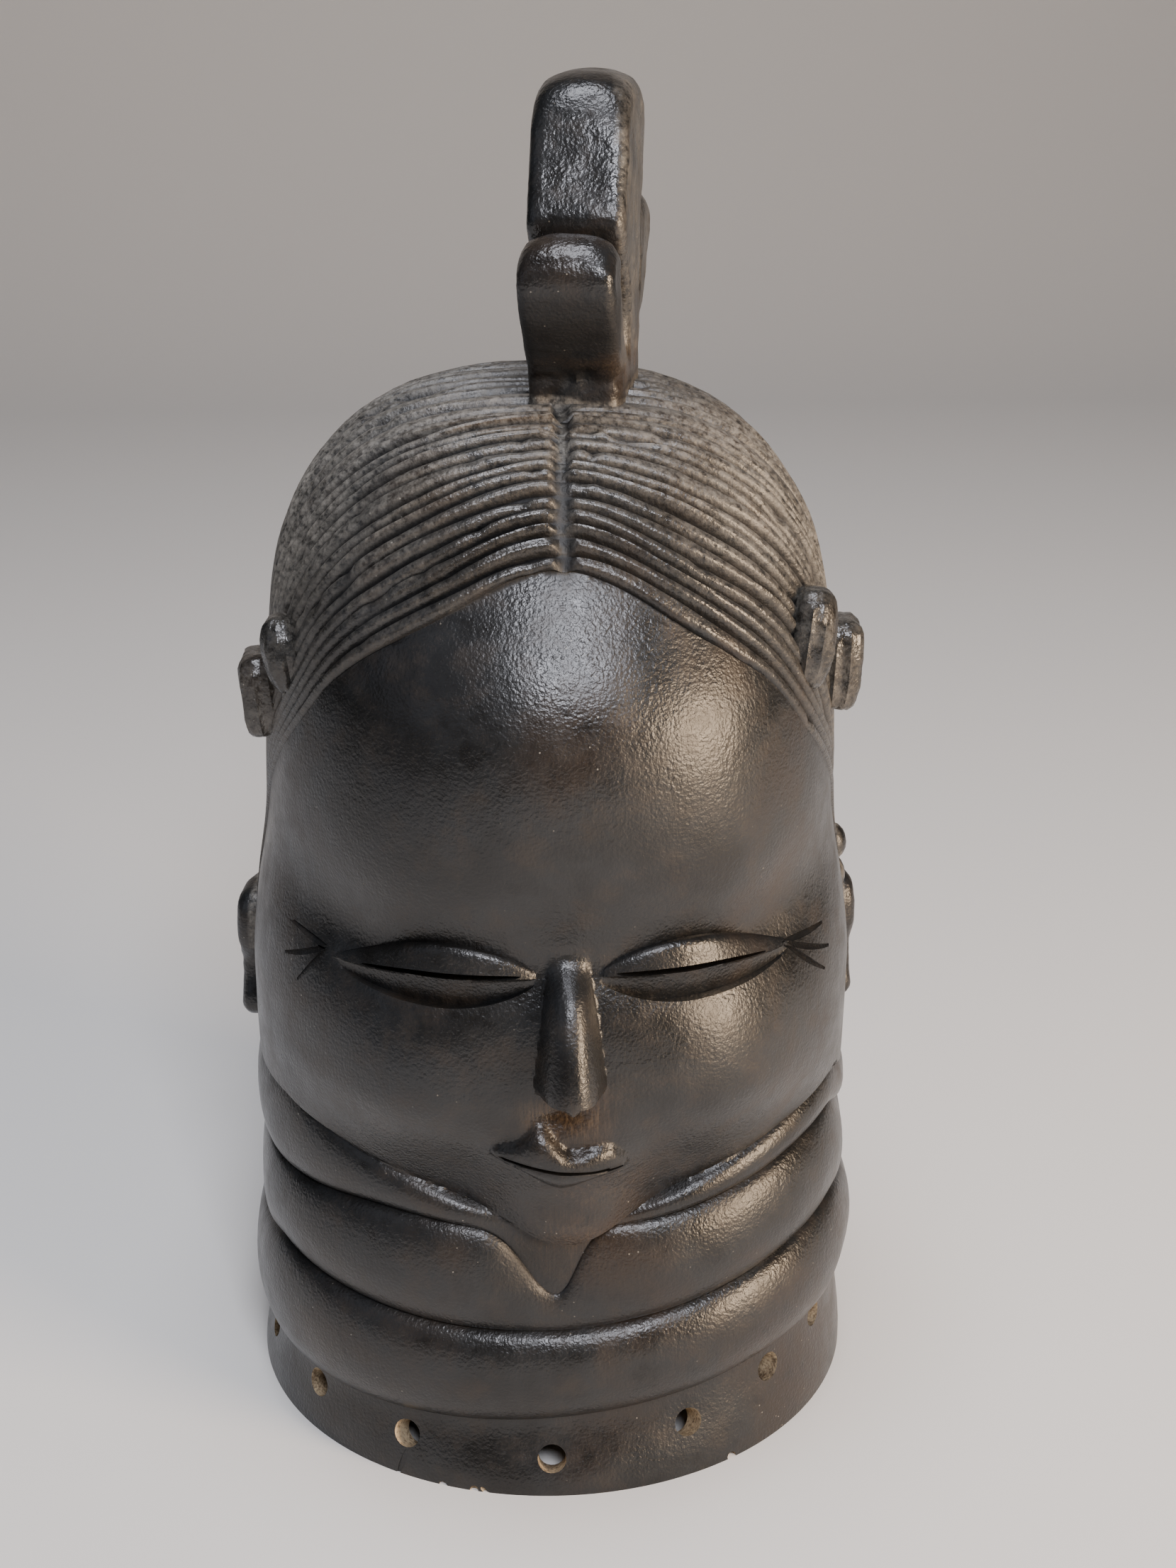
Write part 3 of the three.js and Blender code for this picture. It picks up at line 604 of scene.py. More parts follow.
class Skin:  # rows of points joined by strips, also where two rows hold different numbers of points
    def __init__(self):
        self.points = []
        self.faces = []

    def add(self, points):
        first = len(self.points)
        self.points.extend(points)
        return list(range(first, len(self.points)))

    def strip(self, lower, upper):
        (a, atA), (b, atB) = lower, upper
        i = j = 0
        while i < len(a) - 1 or j < len(b) - 1:
            nextA = atA[i + 1] if i < len(a) - 1 else 1e9
            nextB = atB[j + 1] if j < len(b) - 1 else 1e9
            if abs(nextA - nextB) < 1e-9:
                corners = [a[i], a[i + 1], b[j + 1], b[j]]
                i, j = i + 1, j + 1
            elif nextA < nextB:
                corners = [a[i], a[i + 1], b[j]]
                i += 1
            else:
                corners = [a[i], b[j + 1], b[j]]
                j += 1
            distinct = [c for k, c in enumerate(corners) if c != corners[k - 1]]
            if len(distinct) > 2:
                self.faces.append(distinct)

    def ring(self, points):  # a closed row
        indices = self.add(list(points))
        return indices + indices[:1], list(range(len(indices) + 1))

    def join(self, rows):
        for low, high in zip(rows, rows[1:]):
            self.strip(low, high)

    def close(self, bottom, top, rows):  # fans from both end points to the rows beside them
        first, last = rows[0][0], rows[-1][0]
        for i in range(len(first) - 1):
            self.faces.append([bottom, first[i + 1], first[i]])
            self.faces.append([top, last[i], last[i + 1]])


def mirrored(half):
    half = np.asarray(half)
    return np.concatenate([-half[::-1], half[1:] if half[0] == 0 else half])


def spaced(*stretches):  # (end, step) pairs, from 0 upwards
    values, at = [0.0], 0.0
    for end, step in stretches:
        count = max(1, round((end - at) / step))
        values += [at + (end - at) * (k + 1) / count for k in range(count)]
        at = end
    return values


faceColumns = mirrored(spaced((7, 0.36), (14, 0.6), (42, 0.85), (62, 1.5), (90, 2.6)))
neckColumns = mirrored(spaced((20, 1.0), (90, 1.8)))
hairColumns = mirrored([0.25, 0.7, 1.2, 1.7, 2.3, 3.0] + list(np.linspace(4, 60, 52))
                       + [62.5, 66, 70, 75, 82, 90])
backColumns = mirrored([0.5, 1.4, 2.4, 3.6] + list(np.linspace(5.5, 60, 32)) + [64, 69, 76, 90])
rearColumns = np.linspace(90, -90, 61)


def outerSkin():
    made = Skin()

    def ringRow(heightAt, columns):
        front = lowerPoints(columns * degree, -1, heightAt)
        rear = lowerPoints(rearColumns[1:-1] * degree, 1, heightAt)
        indices = made.add(list(front) + list(rear))
        return indices + indices[:1], list(columns) + list(180 - rearColumns[1:-1]) + [270.0]

    def between(low, high, shares):
        return [lambda a, t=t: mix(low(a), high(a), t) for t in shares]

    def blendTo(front, aside):
        return lambda a: mix(front, aside, flank(a, 20, 70))

    def rimWear(a):
        return 0.9 * np.maximum(0, ripple(np.stack([a * 1.8, 0 * a, 0 * a], axis=1), 9, 11) - 0.45)

    def jawEdge(a):
        return jawLine(a) + 0.5

    def earLine(a):
        return earZ + 0 * a

    mouthLow = blendTo(face["lipBottom"] - 3, share(0.358))
    mouthTop = blendTo(face["lipTop"] + 3, share(0.4075))
    rows = [ringRow(h, neckColumns) for h in
            [rimWear, lambda a: rimWear(a) + 0.8]
            + between(lambda a: 0 * a, skirtTop, [0.12, 0.25, 0.4, 0.55, 0.7, 0.82, 0.91, 0.97, 1.0])
            + between(skirtTop, lowRingTop, [0.012, 0.035, 0.07, 0.12, 0.19, 0.27, 0.36, 0.46,
                                             0.56, 0.66, 0.75, 0.83, 0.9, 0.95, 0.985, 1.0])
            + between(lowRingTop, rollBottom, [0.03, 0.07, 0.14, 0.23, 0.34, 0.46,
                                               0.58, 0.7, 0.8, 0.88, 0.94, 0.98])
            + between(rollBottom, jawLine, [0.0, 0.05, 0.14, 0.28, 0.45, 0.62, 0.78, 0.9, 0.97])]
    rows += [ringRow(h, faceColumns) for h in
             between(jawEdge, mouthLow, np.linspace(0, 1, 22)[:-1])
             + between(mouthLow, mouthTop, np.linspace(0, 1, 42)[:-1])
             + between(mouthTop, earLine, np.linspace(0, 1, 7)[:-1])]
    seam = ringRow(earLine, faceColumns)
    rows.append(seam)
    made.join(rows)
    base = made.add([np.array([0.0, earY, 0.0])])[0]
    ring = rows[0][0]
    made.faces += [[base, ring[i + 1], ring[i]] for i in range(len(ring) - 1)]

    count = len(faceColumns)
    frontSeam = (seam[0][:count], list(faceColumns))
    leftEar, rightEar = seam[0][0], seam[0][count - 1]

    def arcRow(columns, pointsAt):
        indices = made.add(list(pointsAt(columns[1:-1] * degree)))
        return [leftEar] + indices + [rightEar], list(columns)

    inner = faceColumns[1:-1] * degree
    low, slit, high = liftAt(inner, lowerLid), liftAt(inner, slitHeight), liftAt(inner, upperLid)
    line = hairlineLift(inner)
    nudge = 0.13 * degree
    liftRows = [low * t for t in np.linspace(0, 1, 21)[1:-1]] + [low - nudge, low + nudge]
    liftRows += [mix(low, slit, t) for t in (0.14, 0.32, 0.5, 0.68, 0.84, 0.95)]
    liftRows += [mix(slit, high, t) for t in (0.05, 0.2, 0.38, 0.56, 0.72, 0.85, 0.94)]
    liftRows += [high - nudge, high + nudge]
    liftRows += [mix(high, line, t) for t in np.linspace(0, 1, 56)[1:-1]] + [line - 0.35 * degree, line]
    arcs = [frontSeam] + [arcRow(faceColumns, lambda b, lift=lift: facePoints(b, lift)) for lift in liftRows]

    # each ridge drops steeply to the groove in front of it and slopes down behind
    profile = [(0.0, 0.0), (0.07, 0.55), (0.17, 0.92), (0.36, 1.0), (0.6, 0.86), (0.82, 0.5), (0.94, 0.12)]
    ridge = 0

    def comb(start, end, number, shape, columns):
        nonlocal ridge
        for i in range(number):
            for t, crest in shape:
                def rowAt(b, t=t, crest=crest, i=i, ridge=ridge):
                    along = np.stack([np.sin(b) * 130, 0 * b + 45.0 * (i + 0.5 * (t > 0.5)), 0 * b], axis=1)
                    waver = 0.3 * ripple(along, 30, 7) + 0.1 * ripple(along, 9, 8)
                    waver = waver * np.clip(np.cos(b) * 1.3, 0, 1)
                    lift = mix(start(b), end(b), (i + t + waver * (0 < i + t)) / number)
                    return hairPoints(b, lift, crest, ridge + t)
                arcs.append(arcRow(columns, rowAt))
            ridge += 1

    def middleLift(b):
        return (footLift(b) + heelLift(b)) / 2

    half = hair["crown"] // 2
    comb(lambda b: hairlineLift(b) + 0.1 * degree, footLift, hair["front"], profile, hairColumns)
    comb(footLift, middleLift, half, profile, hairColumns)
    comb(middleLift, heelLift, hair["crown"] - half, profile, backColumns)
    comb(heelLift, lambda b: math.pi + 0 * b, hair["back"], profile, backColumns)

    rear = seam[0][count:-1][::-1]
    arcs.append(([leftEar] + rear + [rightEar], list(-rearColumns)))
    made.join(arcs)
    points = np.array(made.points)
    inward = points - np.array([0, earY, earZ])
    inward[:, 2] *= points[:, 2] > earZ
    outward = inward / np.maximum(np.linalg.norm(inward, axis=1, keepdims=True), 1e-6)
    settle = smooth(points[:, 2], 0, 6)[:, None]
    wander = 0.6 * ripple(points, 31, 21) + 0.4 * ripple(points, 11, 22)
    points = points + outward * settle * helmet["handWander"] * wander[:, None]
    points[:, 1] = np.clip(points[:, 1], -120.3, 120.3)
    return points, made.faces


points, faces = outerSkin()
mask = meshObject("sowei_mask", points, faces, stainedWood)
print("outer skin:", len(points), "points")


hollow = {
    "rimWall": 10.0, "neckWall": 7.5, "headWall": 14.0, "crownWall": 19.0, "around": 72,
    "neckFoot": share(0.0807), "neckTop": share(0.252),
}


def hollowForm():
    made = Skin()
    turn = np.linspace(0, 2 * math.pi, hollow["around"] + 1)[:-1]
    dx, dy = np.cos(turn), np.sin(turn)
    rim = [neck[key] - hollow["rimWall"] for key in ("rimHalf", "rimFront", "rimBack")]
    waist = [neck[key] - hollow["neckWall"] for key in ("half", "front", "back")]
    head = [helmet[key] - hollow["headWall"] for key in ("halfWidth", "front", "back")]
    rows = []
    foot, top = hollow["neckFoot"], hollow["neckTop"]
    heights = [-5, 0, foot, top, earZ]
    for z in [-5, 0, 7, 14, 20, foot, 42, 57, 72, top, 100, 116, 132, earZ]:
        half, front, back = [np.interp(z, heights, [r, r, w, w, h]) for r, w, h in zip(rim, waist, head)]
        power = np.interp(z, [0, foot], [helmet["rimPower"], helmet["planPower"]])
        radius = sectionRadius(dx, dy, half, front, back, power)
        rows.append(made.ring(np.stack([dx * radius, earY + dy * radius, np.full_like(dx, z)], axis=1)))
    for angle in np.linspace(6, 84, 14) * degree:
        dz, flat = math.sin(angle), math.cos(angle)
        radius = domeRadius(dx * flat, dy * flat, dz, *head, crownRise - hollow["crownWall"])
        rows.append(made.ring(placed(dx * flat, dy * flat, np.full_like(dx, dz), radius)))
    made.join(rows)
    peak = earZ + crownRise - hollow["crownWall"]
    made.close(*made.add([np.array([0, earY, -5.0]), np.array([0, earY, peak])]), rows)
    points = np.array(made.points)
    adzed = 0.9 * ripple(points, 16, 31) + 0.5 * ripple(points, 8, 32)
    toAxis = points * np.array([1, 1, 0]) - np.array([0, earY, 0])
    toAxis /= np.maximum(np.linalg.norm(toAxis, axis=1, keepdims=True), 1e-6)
    points += toAxis * (adzed * smooth(points[:, 2], 4, 14))[:, None]
    return meshObject("hollow", points, made.faces, hollowWood)


crest = {
    "rise": 87.4, "lobeRise": 46.7, "foot": -18.0,
    "width": 29.0, "frontWidth": 28.0, "backWidth": 26.0,
    "twist": -10.5 * degree, "shift": 13.5, "y": 5.2725,
    "domed": 4.0,           # the tops fall this much from the middle to both edges
    "voxel": 1.5,
}


def smoothLoop(corners, pieces):  # even curve through the corner points, closed
    corners = np.asarray(corners, dtype=float)
    count = len(corners)
    loop = []
    for i in range(count):
        p0, p1, p2, p3 = (corners[(i + k) % count] for k in (-1, 0, 1, 2))
        for t in np.arange(pieces) / pieces:
            loop.append(0.5 * (2 * p1 + (p2 - p0) * t + (2 * p0 - 5 * p1 + 4 * p2 - p3) * t * t
                               + (3 * p1 - p0 - 3 * p2 + p3) * t ** 3))
    return np.array(loop)


def plate(loop, width, edge):  # outline in y and z, given a width along x and a chamfer round both faces
    centre = loop.mean(axis=0)
    count = len(loop)
    step = np.roll(loop, -1, axis=0) - np.roll(loop, 1, axis=0)
    normal = np.stack([step[:, 1], -step[:, 0]], axis=1)
    normal /= np.linalg.norm(normal, axis=1, keepdims=True)
    area = 0.5 * np.sum(loop[:, 0] * np.roll(loop[:, 1], -1) - np.roll(loop[:, 0], -1) * loop[:, 1])
    normal *= np.sign(area)
    points, faces = [], []
    for x, inset in ((-width / 2, edge), (-width / 2 + edge, 0), (width / 2 - edge, 0), (width / 2, edge)):
        ring = loop - normal * inset
        points += [[x, y, z] for y, z in ring]
    for layer in range(3):
        for i in range(count):
            j = (i + 1) % count
            a, b = layer * count + i, layer * count + j
            faces.append([a, b, b + count, a + count] if area > 0 else [a, a + count, b + count, b])
    cap = list(range(count))
    last = [3 * count + i for i in range(count)]
    faces.append(cap[::-1] if area > 0 else cap)
    faces.append(last if area > 0 else last[::-1])
    return np.array(points), faces


def crestForm():
    rise, lobeRise, foot = crest["rise"], crest["lobeRise"], crest["foot"]
    stem = [[-17, foot], [-18, 18], [-26, 32], [-36, 46], [-33, 56], [-28, 67], [-24, rise - 10],
            [-16, rise - 2], [0, rise], [18, rise - 2], [28, rise - 13], [27, 64], [21, 52], [15, 38],
            [13, 18], [14, foot]]
    frontLobe = [[-6, foot], [-36, foot], [-39, 1], [-42, 7], [-49, 15], [-57, 24], [-61, 34],
                 [-59, lobeRise - 5], [-50, lobeRise], [-41, lobeRise - 4], [-38, 33], [-33, 24], [-27, 16],
                 [-20, 9], [-6, 6]]
    backLobe = [[6, foot], [20, foot], [24, 6], [42, 12], [58, 22], [68, 33], [66, lobeRise - 3],
                [50, lobeRise + 2], [36, lobeRise - 3], [29, 36], [33, 28], [29, 20], [18, 13], [6, 8]]
    widths = [crest[key] for key in ("width", "frontWidth", "backWidth")]
    joined = None
    for corners, width in zip((stem, frontLobe, backLobe), widths):
        points, faces = plate(smoothLoop(corners, 4), width, 2.0)
        part = meshObject("crestPart", points, faces, stainedWood)
        if joined is None:
            joined = part
        else:
            carve(joined, part, "UNION")
    evened(joined, crest["voxel"])
    points = readPoints(joined)
    normals = readVectors(joined, "normal")
    cuts = 0.5 * np.abs(ripple(points, 11, 41)) + 0.16 * np.abs(ripple(points, 4.5, 42))
    cuts += 1.6 * np.abs(ripple(points, 5, 43)) * (1 - smooth(points[:, 2], 5, 9)) * (points[:, 1] < -30)
    points -= normals * (cuts - 0.15)[:, None]
    across = (np.abs(points[:, 0]) / 14.0) ** 2.5
    x, y, z = points.T
    onTop = np.where(np.abs(y) < 37, smooth(z, rise - 22, rise - 2),
                     smooth(z, lobeRise - 16, lobeRise - 1) * smooth(np.abs(y), 37, 42))
    points[:, 2] -= crest["domed"] * across * onTop
    points = np.clip(points, [-99, -61.3, foot], [99, 68.3, rise])
    turned = spun(points, 0, 1, crest["twist"])
    writePoints(joined, turned + [crest["shift"], crest["y"], helmet["height"]])
    return joined


# a rounded block, cut by hand
def roundForm(name, size, power, at, tilt, seed, wear=0.6, rows=22, around=34, flutes=0):
    made = Skin()
    lines = []
    for latitude in np.linspace(-82, 82, rows) * degree:
        turn = np.linspace(0, 2 * math.pi, around + 1)[:-1]
        d = np.stack([np.cos(latitude) * np.cos(turn), np.cos(latitude) * np.sin(turn),
                      np.full_like(turn, math.sin(latitude))], axis=1)
        d /= (np.sum(np.abs(d) ** power, axis=1) ** (1 / power))[:, None]
        lines.append(made.ring(d))
    made.join(lines)
    made.close(*made.add([np.array([0, 0, -1.0]), np.array([0, 0, 1.0])]), lines)
    points = np.array(made.points) * np.array(size)
    if flutes:
        turn = np.arctan2(points[:, 1] / size[1], points[:, 0] / size[0])
        points[:, :2] *= 1 - 0.11 * (1 - np.abs(np.sin(turn * flutes)))[:, None]
    length = np.linalg.norm(points, axis=1, keepdims=True)
    cuts = np.abs(ripple(points, 8, seed)) + 0.5 * np.abs(ripple(points, 4, seed + 1))
    points *= 1 - wear * cuts[:, None] / length
    return meshObject(name, spun(points, 2, 0, tilt) + np.array(at), made.faces, stainedWood)


knots = {  # half sizes, how square, place, turn in degrees, flutes cut into it
    "left": [((6.5, 10.0, 12.0), 2.6, (-80.8, -49.0, share(0.7845)), -8, 5),
             ((8.0, 12.0, 13.5), 4.0, (-88.0, -28.5, share(0.7295)), -5, 6)],
    "right": [((8.0, 11.0, 16.0), 2.6, (74.2, -60.8, share(0.8)), 6, 6),
              ((8.0, 12.0, 14.7), 4.0, (87.1, -35.0, share(0.753)), 3, 6)],
}
frameShift = earY + 5  # the knots are placed from the middle of the plan


def knotForms(side, seed):
    made = []
    for i, (size, power, at, turn, flutes) in enumerate(knots[side]):
        place = (at[0], at[1] + frameShift, at[2])
        made.append(roundForm("knot", size, power, place, turn * degree, seed + 10 * i, 1.0, flutes=flutes))
    return made


ears = {"width": 20.0, "turn": 10 * degree, "voxel": 1.3}


def earForm(side):
    loop = smoothLoop([[-12, -20], [4, -24], [15, -10], [17, 8], [14, 21], [-8, 22], [-13, 8], [-9, -4]], 6)
    points, faces = plate(loop, ears["width"], 2.5)
    ear = meshObject("ear", points, faces, stainedWood)
    bowl = roundForm("bowl", (6, 8.5, 14), 2.2, (side * 11, 3, 0.7), 0, 71)
    carve(ear, bowl, "DIFFERENCE")
    evened(ear, ears["voxel"])
    points = readPoints(ear)
    points -= readVectors(ear, "normal") * (0.5 * np.abs(ripple(points, 6, 72)))[:, None]
    turned = spun(points, 0, 1, side * ears["turn"])
    writePoints(ear, turned + [side * (helmet["halfWidth"] - 4.5), earY + 16, share(0.4217)])
    return ear


# Geometry Nodes: what repeats or follows a path
def nodeTree(name, inputs):  # with its inputs, their values by socket, and its end
    tree = bpy.data.node_groups.new(name, "GeometryNodeTree")
    tree.interface.new_socket("Geometry", in_out="INPUT", socket_type="NodeSocketGeometry")
    values = {}
    for label, (kind, value) in inputs.items():
        socket = tree.interface.new_socket(label, in_out="INPUT", socket_type="NodeSocket" + kind)
        values[socket.identifier] = value
    tree.interface.new_socket("Geometry", in_out="OUTPUT", socket_type="NodeSocketGeometry")
    start = tree.nodes.new("NodeGroupInput")
    end = tree.nodes.new("NodeGroupOutput")
    return tree, start.outputs, values, end


def endTree(tree, start, end, geometry):  # real meshes in the given wood
    real = node(tree, "GeometryNodeRealizeInstances", {"Geometry": geometry})
    painted = node(tree, "GeometryNodeSetMaterial", {
        "Geometry": real.outputs["Geometry"], "Material": start["Wood"]})
    tree.links.new(painted.outputs["Geometry"], end.inputs["Geometry"])


def grow(made, tree, values, wood):  # runs the tree on an object and keeps the result as a plain mesh
    modifier = made.modifiers.new(tree.name, "NODES")
    modifier.node_group = tree
    for identifier, value in values.items():
        modifier[identifier] = value
    made.update_tag()
    graph = bpy.context.evaluated_depsgraph_get()
    mesh = bpy.data.meshes.new_from_object(made.evaluated_get(graph), depsgraph=graph)
    mesh.materials.clear()
    mesh.materials.append(wood)
    mesh.polygons.foreach_set("material_index", np.zeros(len(mesh.polygons), dtype=np.int32))
    result = bpy.data.objects.new(made.name + "_made", mesh)
    bpy.context.collection.objects.link(result)
    bpy.data.objects.remove(made)
    return result


lashHoles = {
    # degrees from the middle of the face, and height above the rim
    "front": [(-55.3, 16.0), (-32.5, 13.5), (-3.4, 11.5), (24.2, 17.5), (43.8, 25.0), (60, 30.5)],
    "behind": 10,                            # more of them, evenly spaced
    "diameter": 8.4, "height": 16.0, "climb": 14.5, "length": 34.0, "jitter": 0.05,
    "tilt": 27 * degree,                     # drilled from above, so the outer end is higher
}


def lashHoleCutters():
    tree, start, values, end = nodeTree("lash_holes", {
        "Diameter": ("Float", lashHoles["diameter"] / 1000), "Length": ("Float", lashHoles["length"] / 1000),
        "Uneven": ("Float", lashHoles["jitter"]), "Seed": ("Int", 3), "Wood": ("Material", cutWood)})
    inside = maths(tree, "MULTIPLY", start["Diameter"], 0.5)
    outside = maths(tree, "MULTIPLY", inside, 1.12)      # drilled from outside, so wider there
    drill = node(tree, "GeometryNodeMeshCone", {
        "Radius Top": outside, "Radius Bottom": inside, "Depth": start["Length"]}, in_Vertices=22)
    points = node(tree, "GeometryNodeMeshToPoints", {"Mesh": start["Geometry"]})
    outward = node(tree, "GeometryNodeInputNamedAttribute", data_type="FLOAT_VECTOR", in_Name="outward")
    aim = node(tree, "FunctionNodeAlignRotationToVector", {"Vector": outward.outputs["Attribute"]}, axis="Z")
    size = node(tree, "FunctionNodeRandomValue", {"Seed": start["Seed"]}, data_type="FLOAT")
    for slot, operation in ((2, "SUBTRACT"), (3, "ADD")):
        tree.links.new(maths(tree, operation, 1.0, start["Uneven"]), size.inputs[slot])
    instances = node(tree, "GeometryNodeInstanceOnPoints", {
        "Points": points.outputs["Points"], "Instance": drill.outputs["Mesh"], "Rotation": aim.outputs[0],
        "Scale": size.outputs[1]})
    endTree(tree, start, end, instances.outputs["Instances"])
    places, directions = [], []
    first, last = lashHoles["front"][0][0], lashHoles["front"][-1][0]
    gap = (360 + first - last) / (lashHoles["behind"] + 1)
    behind = [last + gap * (i + 1) for i in range(lashHoles["behind"])]
    climbs = [lashHoles["height"] + lashHoles["climb"] * float(hill(a - 60, 36)) for a in behind]
    half = lashHoles["length"] / 2
    for i, (azimuth, z) in enumerate(lashHoles["front"] + list(zip(behind, climbs))):
        a = azimuth * degree
        dx, dy = math.sin(a), -math.cos(a)
        reach = rimReach(dx, dy)
        up = math.tan(lashHoles["tilt"]) + 0.06 * math.sin(i * 2.3)
        inner = half / math.hypot(1, up)             # the drill starts inside the hollow
        places.append([dx * (reach - 4 - inner), earY + dy * (reach - 4 - inner), z - up * inner])
        directions.append([dx, dy, up])
    made = meshObject("lashHolePoints", places, [])
    storeValues(made, "outward", "FLOAT_VECTOR", "vector", np.array(directions).ravel())
    return grow(made, tree, values, cutWood)


plait = {"beads": 4, "size": (5.0, 6.0, 6.5)}


def plaitBeads():  # beads of a short plait along the edge of the face, in front of the ear
    tree, start, values, end = nodeTree("plait", {
        "Beads": ("Int", plait["beads"]), "Bead size": ("Vector", [s / 1000 for s in plait["size"]]),
        "Seed": ("Int", 5), "Wood": ("Material", stainedWood)})
    path = node(tree, "GeometryNodeMeshToCurve", {"Mesh": start["Geometry"]})
    even = node(tree, "GeometryNodeResampleCurve", {"Curve": path.outputs["Curve"], "Count": start["Beads"]})
    bead = node(tree, "GeometryNodeMeshUVSphere", in_Segments=16, in_Rings=10, in_Radius=1.0)
    turn = node(tree, "FunctionNodeRandomValue", {"Seed": start["Seed"]}, data_type="FLOAT_VECTOR")
    for slot, most in ((0, -0.15), (1, 0.15)):
        turn.inputs[slot].default_value = (most, most, most)
    instances = node(tree, "GeometryNodeInstanceOnPoints", {
        "Points": even.outputs["Curve"], "Instance": bead.outputs["Mesh"], "Scale": start["Bead size"],
        "Rotation": turn.outputs[0]})
    endTree(tree, start, end, instances.outputs["Instances"])
    places = [[helmet["halfWidth"] - 2.5 - 0.3 * i, earY + 7 - 1.5 * i, share(0.4287 + 0.0353 * i)]
              for i in range(4)]
    made = meshObject("plaitPath", places, [], edges=[(0, 1), (1, 2), (2, 3)])
    return grow(made, tree, values, stainedWood)


# lines cut with the corner of a blade: the marks beside the eyes, and the crack in the rim
scarMarks = {
    "width": 2.7, "depth": 1.1,
    "crack": [(-51.9, 9.0), (-55.1, -0.5)],         # from a lashing hole to the rim
    "left": [(-70.7, 183.5), (-81.4, 185.4), (-84.6, 174.4), (-80.7, 168.9)],  # where they meet, then the ends
    "right": [(66.3, 182.9), (81.4, 180.4), (84.1, 171.7), (82.2, 166.1)],
}


def surfacePoint(x, z):  # on the face, above or below the ear line, by bisection on the bearing
    low, high = -80 * degree, 80 * degree
    for _ in range(40):
        middle = (low + high) / 2
        p = facePointAtHeight(middle, z)
        low, high = (middle, high) if p[0] < x else (low, middle)
    return facePointAtHeight((low + high) / 2, z)


def facePointAtHeight(bearing, z):
    b = np.array([bearing])
    if z < earZ:
        return lowerPoints(b, -1, lambda a: z + 0 * a)[0]
    return facePoints(b, liftAt(b, lambda x: z + 0 * x))[0]


def scarCutters():
    tree, start, values, end = nodeTree("blade_lines", {
        "Width": ("Float", scarMarks["width"] / 2000), "Wood": ("Material", stainedWood)})
    path = node(tree, "GeometryNodeMeshToCurve", {"Mesh": start["Geometry"]})
    radius = node(tree, "GeometryNodeInputNamedAttribute", data_type="FLOAT", in_Name="taper")
    blade = node(tree, "GeometryNodeCurvePrimitiveCircle", {"Radius": start["Width"]}, in_Resolution=4)
    cut = node(tree, "GeometryNodeCurveToMesh", {
        "Curve": path.outputs["Curve"], "Profile Curve": blade.outputs["Curve"]})
    cut.inputs["Fill Caps"].default_value = True
    if "Scale" in cut.inputs:
        tree.links.new(radius.outputs["Attribute"], cut.inputs["Scale"])
    endTree(tree, start, end, cut.outputs["Mesh"])
    places, edges, tapers = [], [], []
    for root, *ends in (scarMarks["left"], scarMarks["right"], scarMarks["crack"]):
        for x, z in ends:
            first = len(places)
            for k in range(9):
                t = k / 8
                p = surfacePoint(mix(root[0], x, t), mix(root[1], z, t))
                out = np.array([p[0], p[1] - earY, 0])
                out /= np.linalg.norm(out)
                sunk = 0.4 + 0.6 * math.sin(math.pi * min(t * 1.1, 1))
                places.append(p + out * (scarMarks["width"] / 2 - scarMarks["depth"]) * sunk)
                tapers.append(0.25 + 0.75 * math.sin(math.pi * (0.12 + 0.8 * t)))
            edges += [[first + k, first + k + 1] for k in range(8)]
    made = meshObject("scarPaths", places, [], edges=edges)
    storeValues(made, "taper", "FLOAT", "value", tapers)
    return grow(made, tree, values, stainedWood)


def bladeForm(name, xs, heights, opens, near, far):  # a thin curved wedge along a slit, from y near to y far
    top = [(x, z + o) for x, z, o in zip(xs, heights, opens)]
    bottom = [(x, z - o) for x, z, o in zip(xs, heights, opens)][::-1]
    loop = bottom[::-1] + top[::-1]
    if sum(a[0] * b[1] - b[0] * a[1] for a, b in zip(loop, loop[1:] + loop[:1])) < 0:
        loop = loop[::-1]
    count = len(loop)
    points = [[x, near, z] for x, z in loop] + [[x, far, z] for x, z in loop]
    faces = [list(range(count)), [2 * count - 1 - i for i in range(count)]]
    for i in range(count):
        j = (i + 1) % count
        faces.append([i, i + count, j + count, j])
    return meshObject(name, points, faces, stainedWood)


def eyeSlits(side):
    xs = np.linspace(face["slitInner"] - 2, face["slitOuter"] + 3, 33)
    t = (xs - xs[0]) / (xs[-1] - xs[0])
    opens = 0.12 + face["slitOpening"] / 2 * np.sin(np.pi * t) ** 0.7
    xs = side * xs
    return bladeForm("slit", list(xs), list(slitHeight(xs) - 0.3), list(opens), -130.0, -30.0)


def mouthGap():
    xs = np.linspace(-0.94, 0.94, 33) * face["mouthHalf"]
    side = 1 - np.abs(xs) / face["mouthHalf"]
    line = mouthLine(xs)
    opens = 0.15 + 0.85 * np.maximum(side, 0) ** 0.5 * (1 - 0.25 * xs / face["mouthHalf"])
    return bladeForm("mouthGap", list(xs + face["mouthShift"]), list(line), list(opens), -130.0, -104.5)


chips = [  # broken out of the foot of the rim: degrees from the middle of the face, half sizes
    (-24.2, (1.6, 2.6, 1.4)), (-18.1, (2.0, 2.0, 2.2)), (-16.0, (3.0, 1.6, 1.2)),
    (33.0, (2.4, 3.0, 1.6)), (141.0, (5.0, 3.6, 2.8)),
]


def rimChips():
    made = []
    for i, (azimuth, size) in enumerate(chips):
        dx, dy = math.sin(azimuth * degree), -math.cos(azimuth * degree)
        reach = rimReach(dx, dy)
        place = (dx * reach, earY + dy * reach, 0.3)
        chip = roundForm("chip", size, 2.2, place, 0.4 * i, 91 + i, 0.9, rows=8, around=12)
        chip.data.materials.clear()
        chip.data.materials.append(cutWood)
        made.append(chip)
    return made


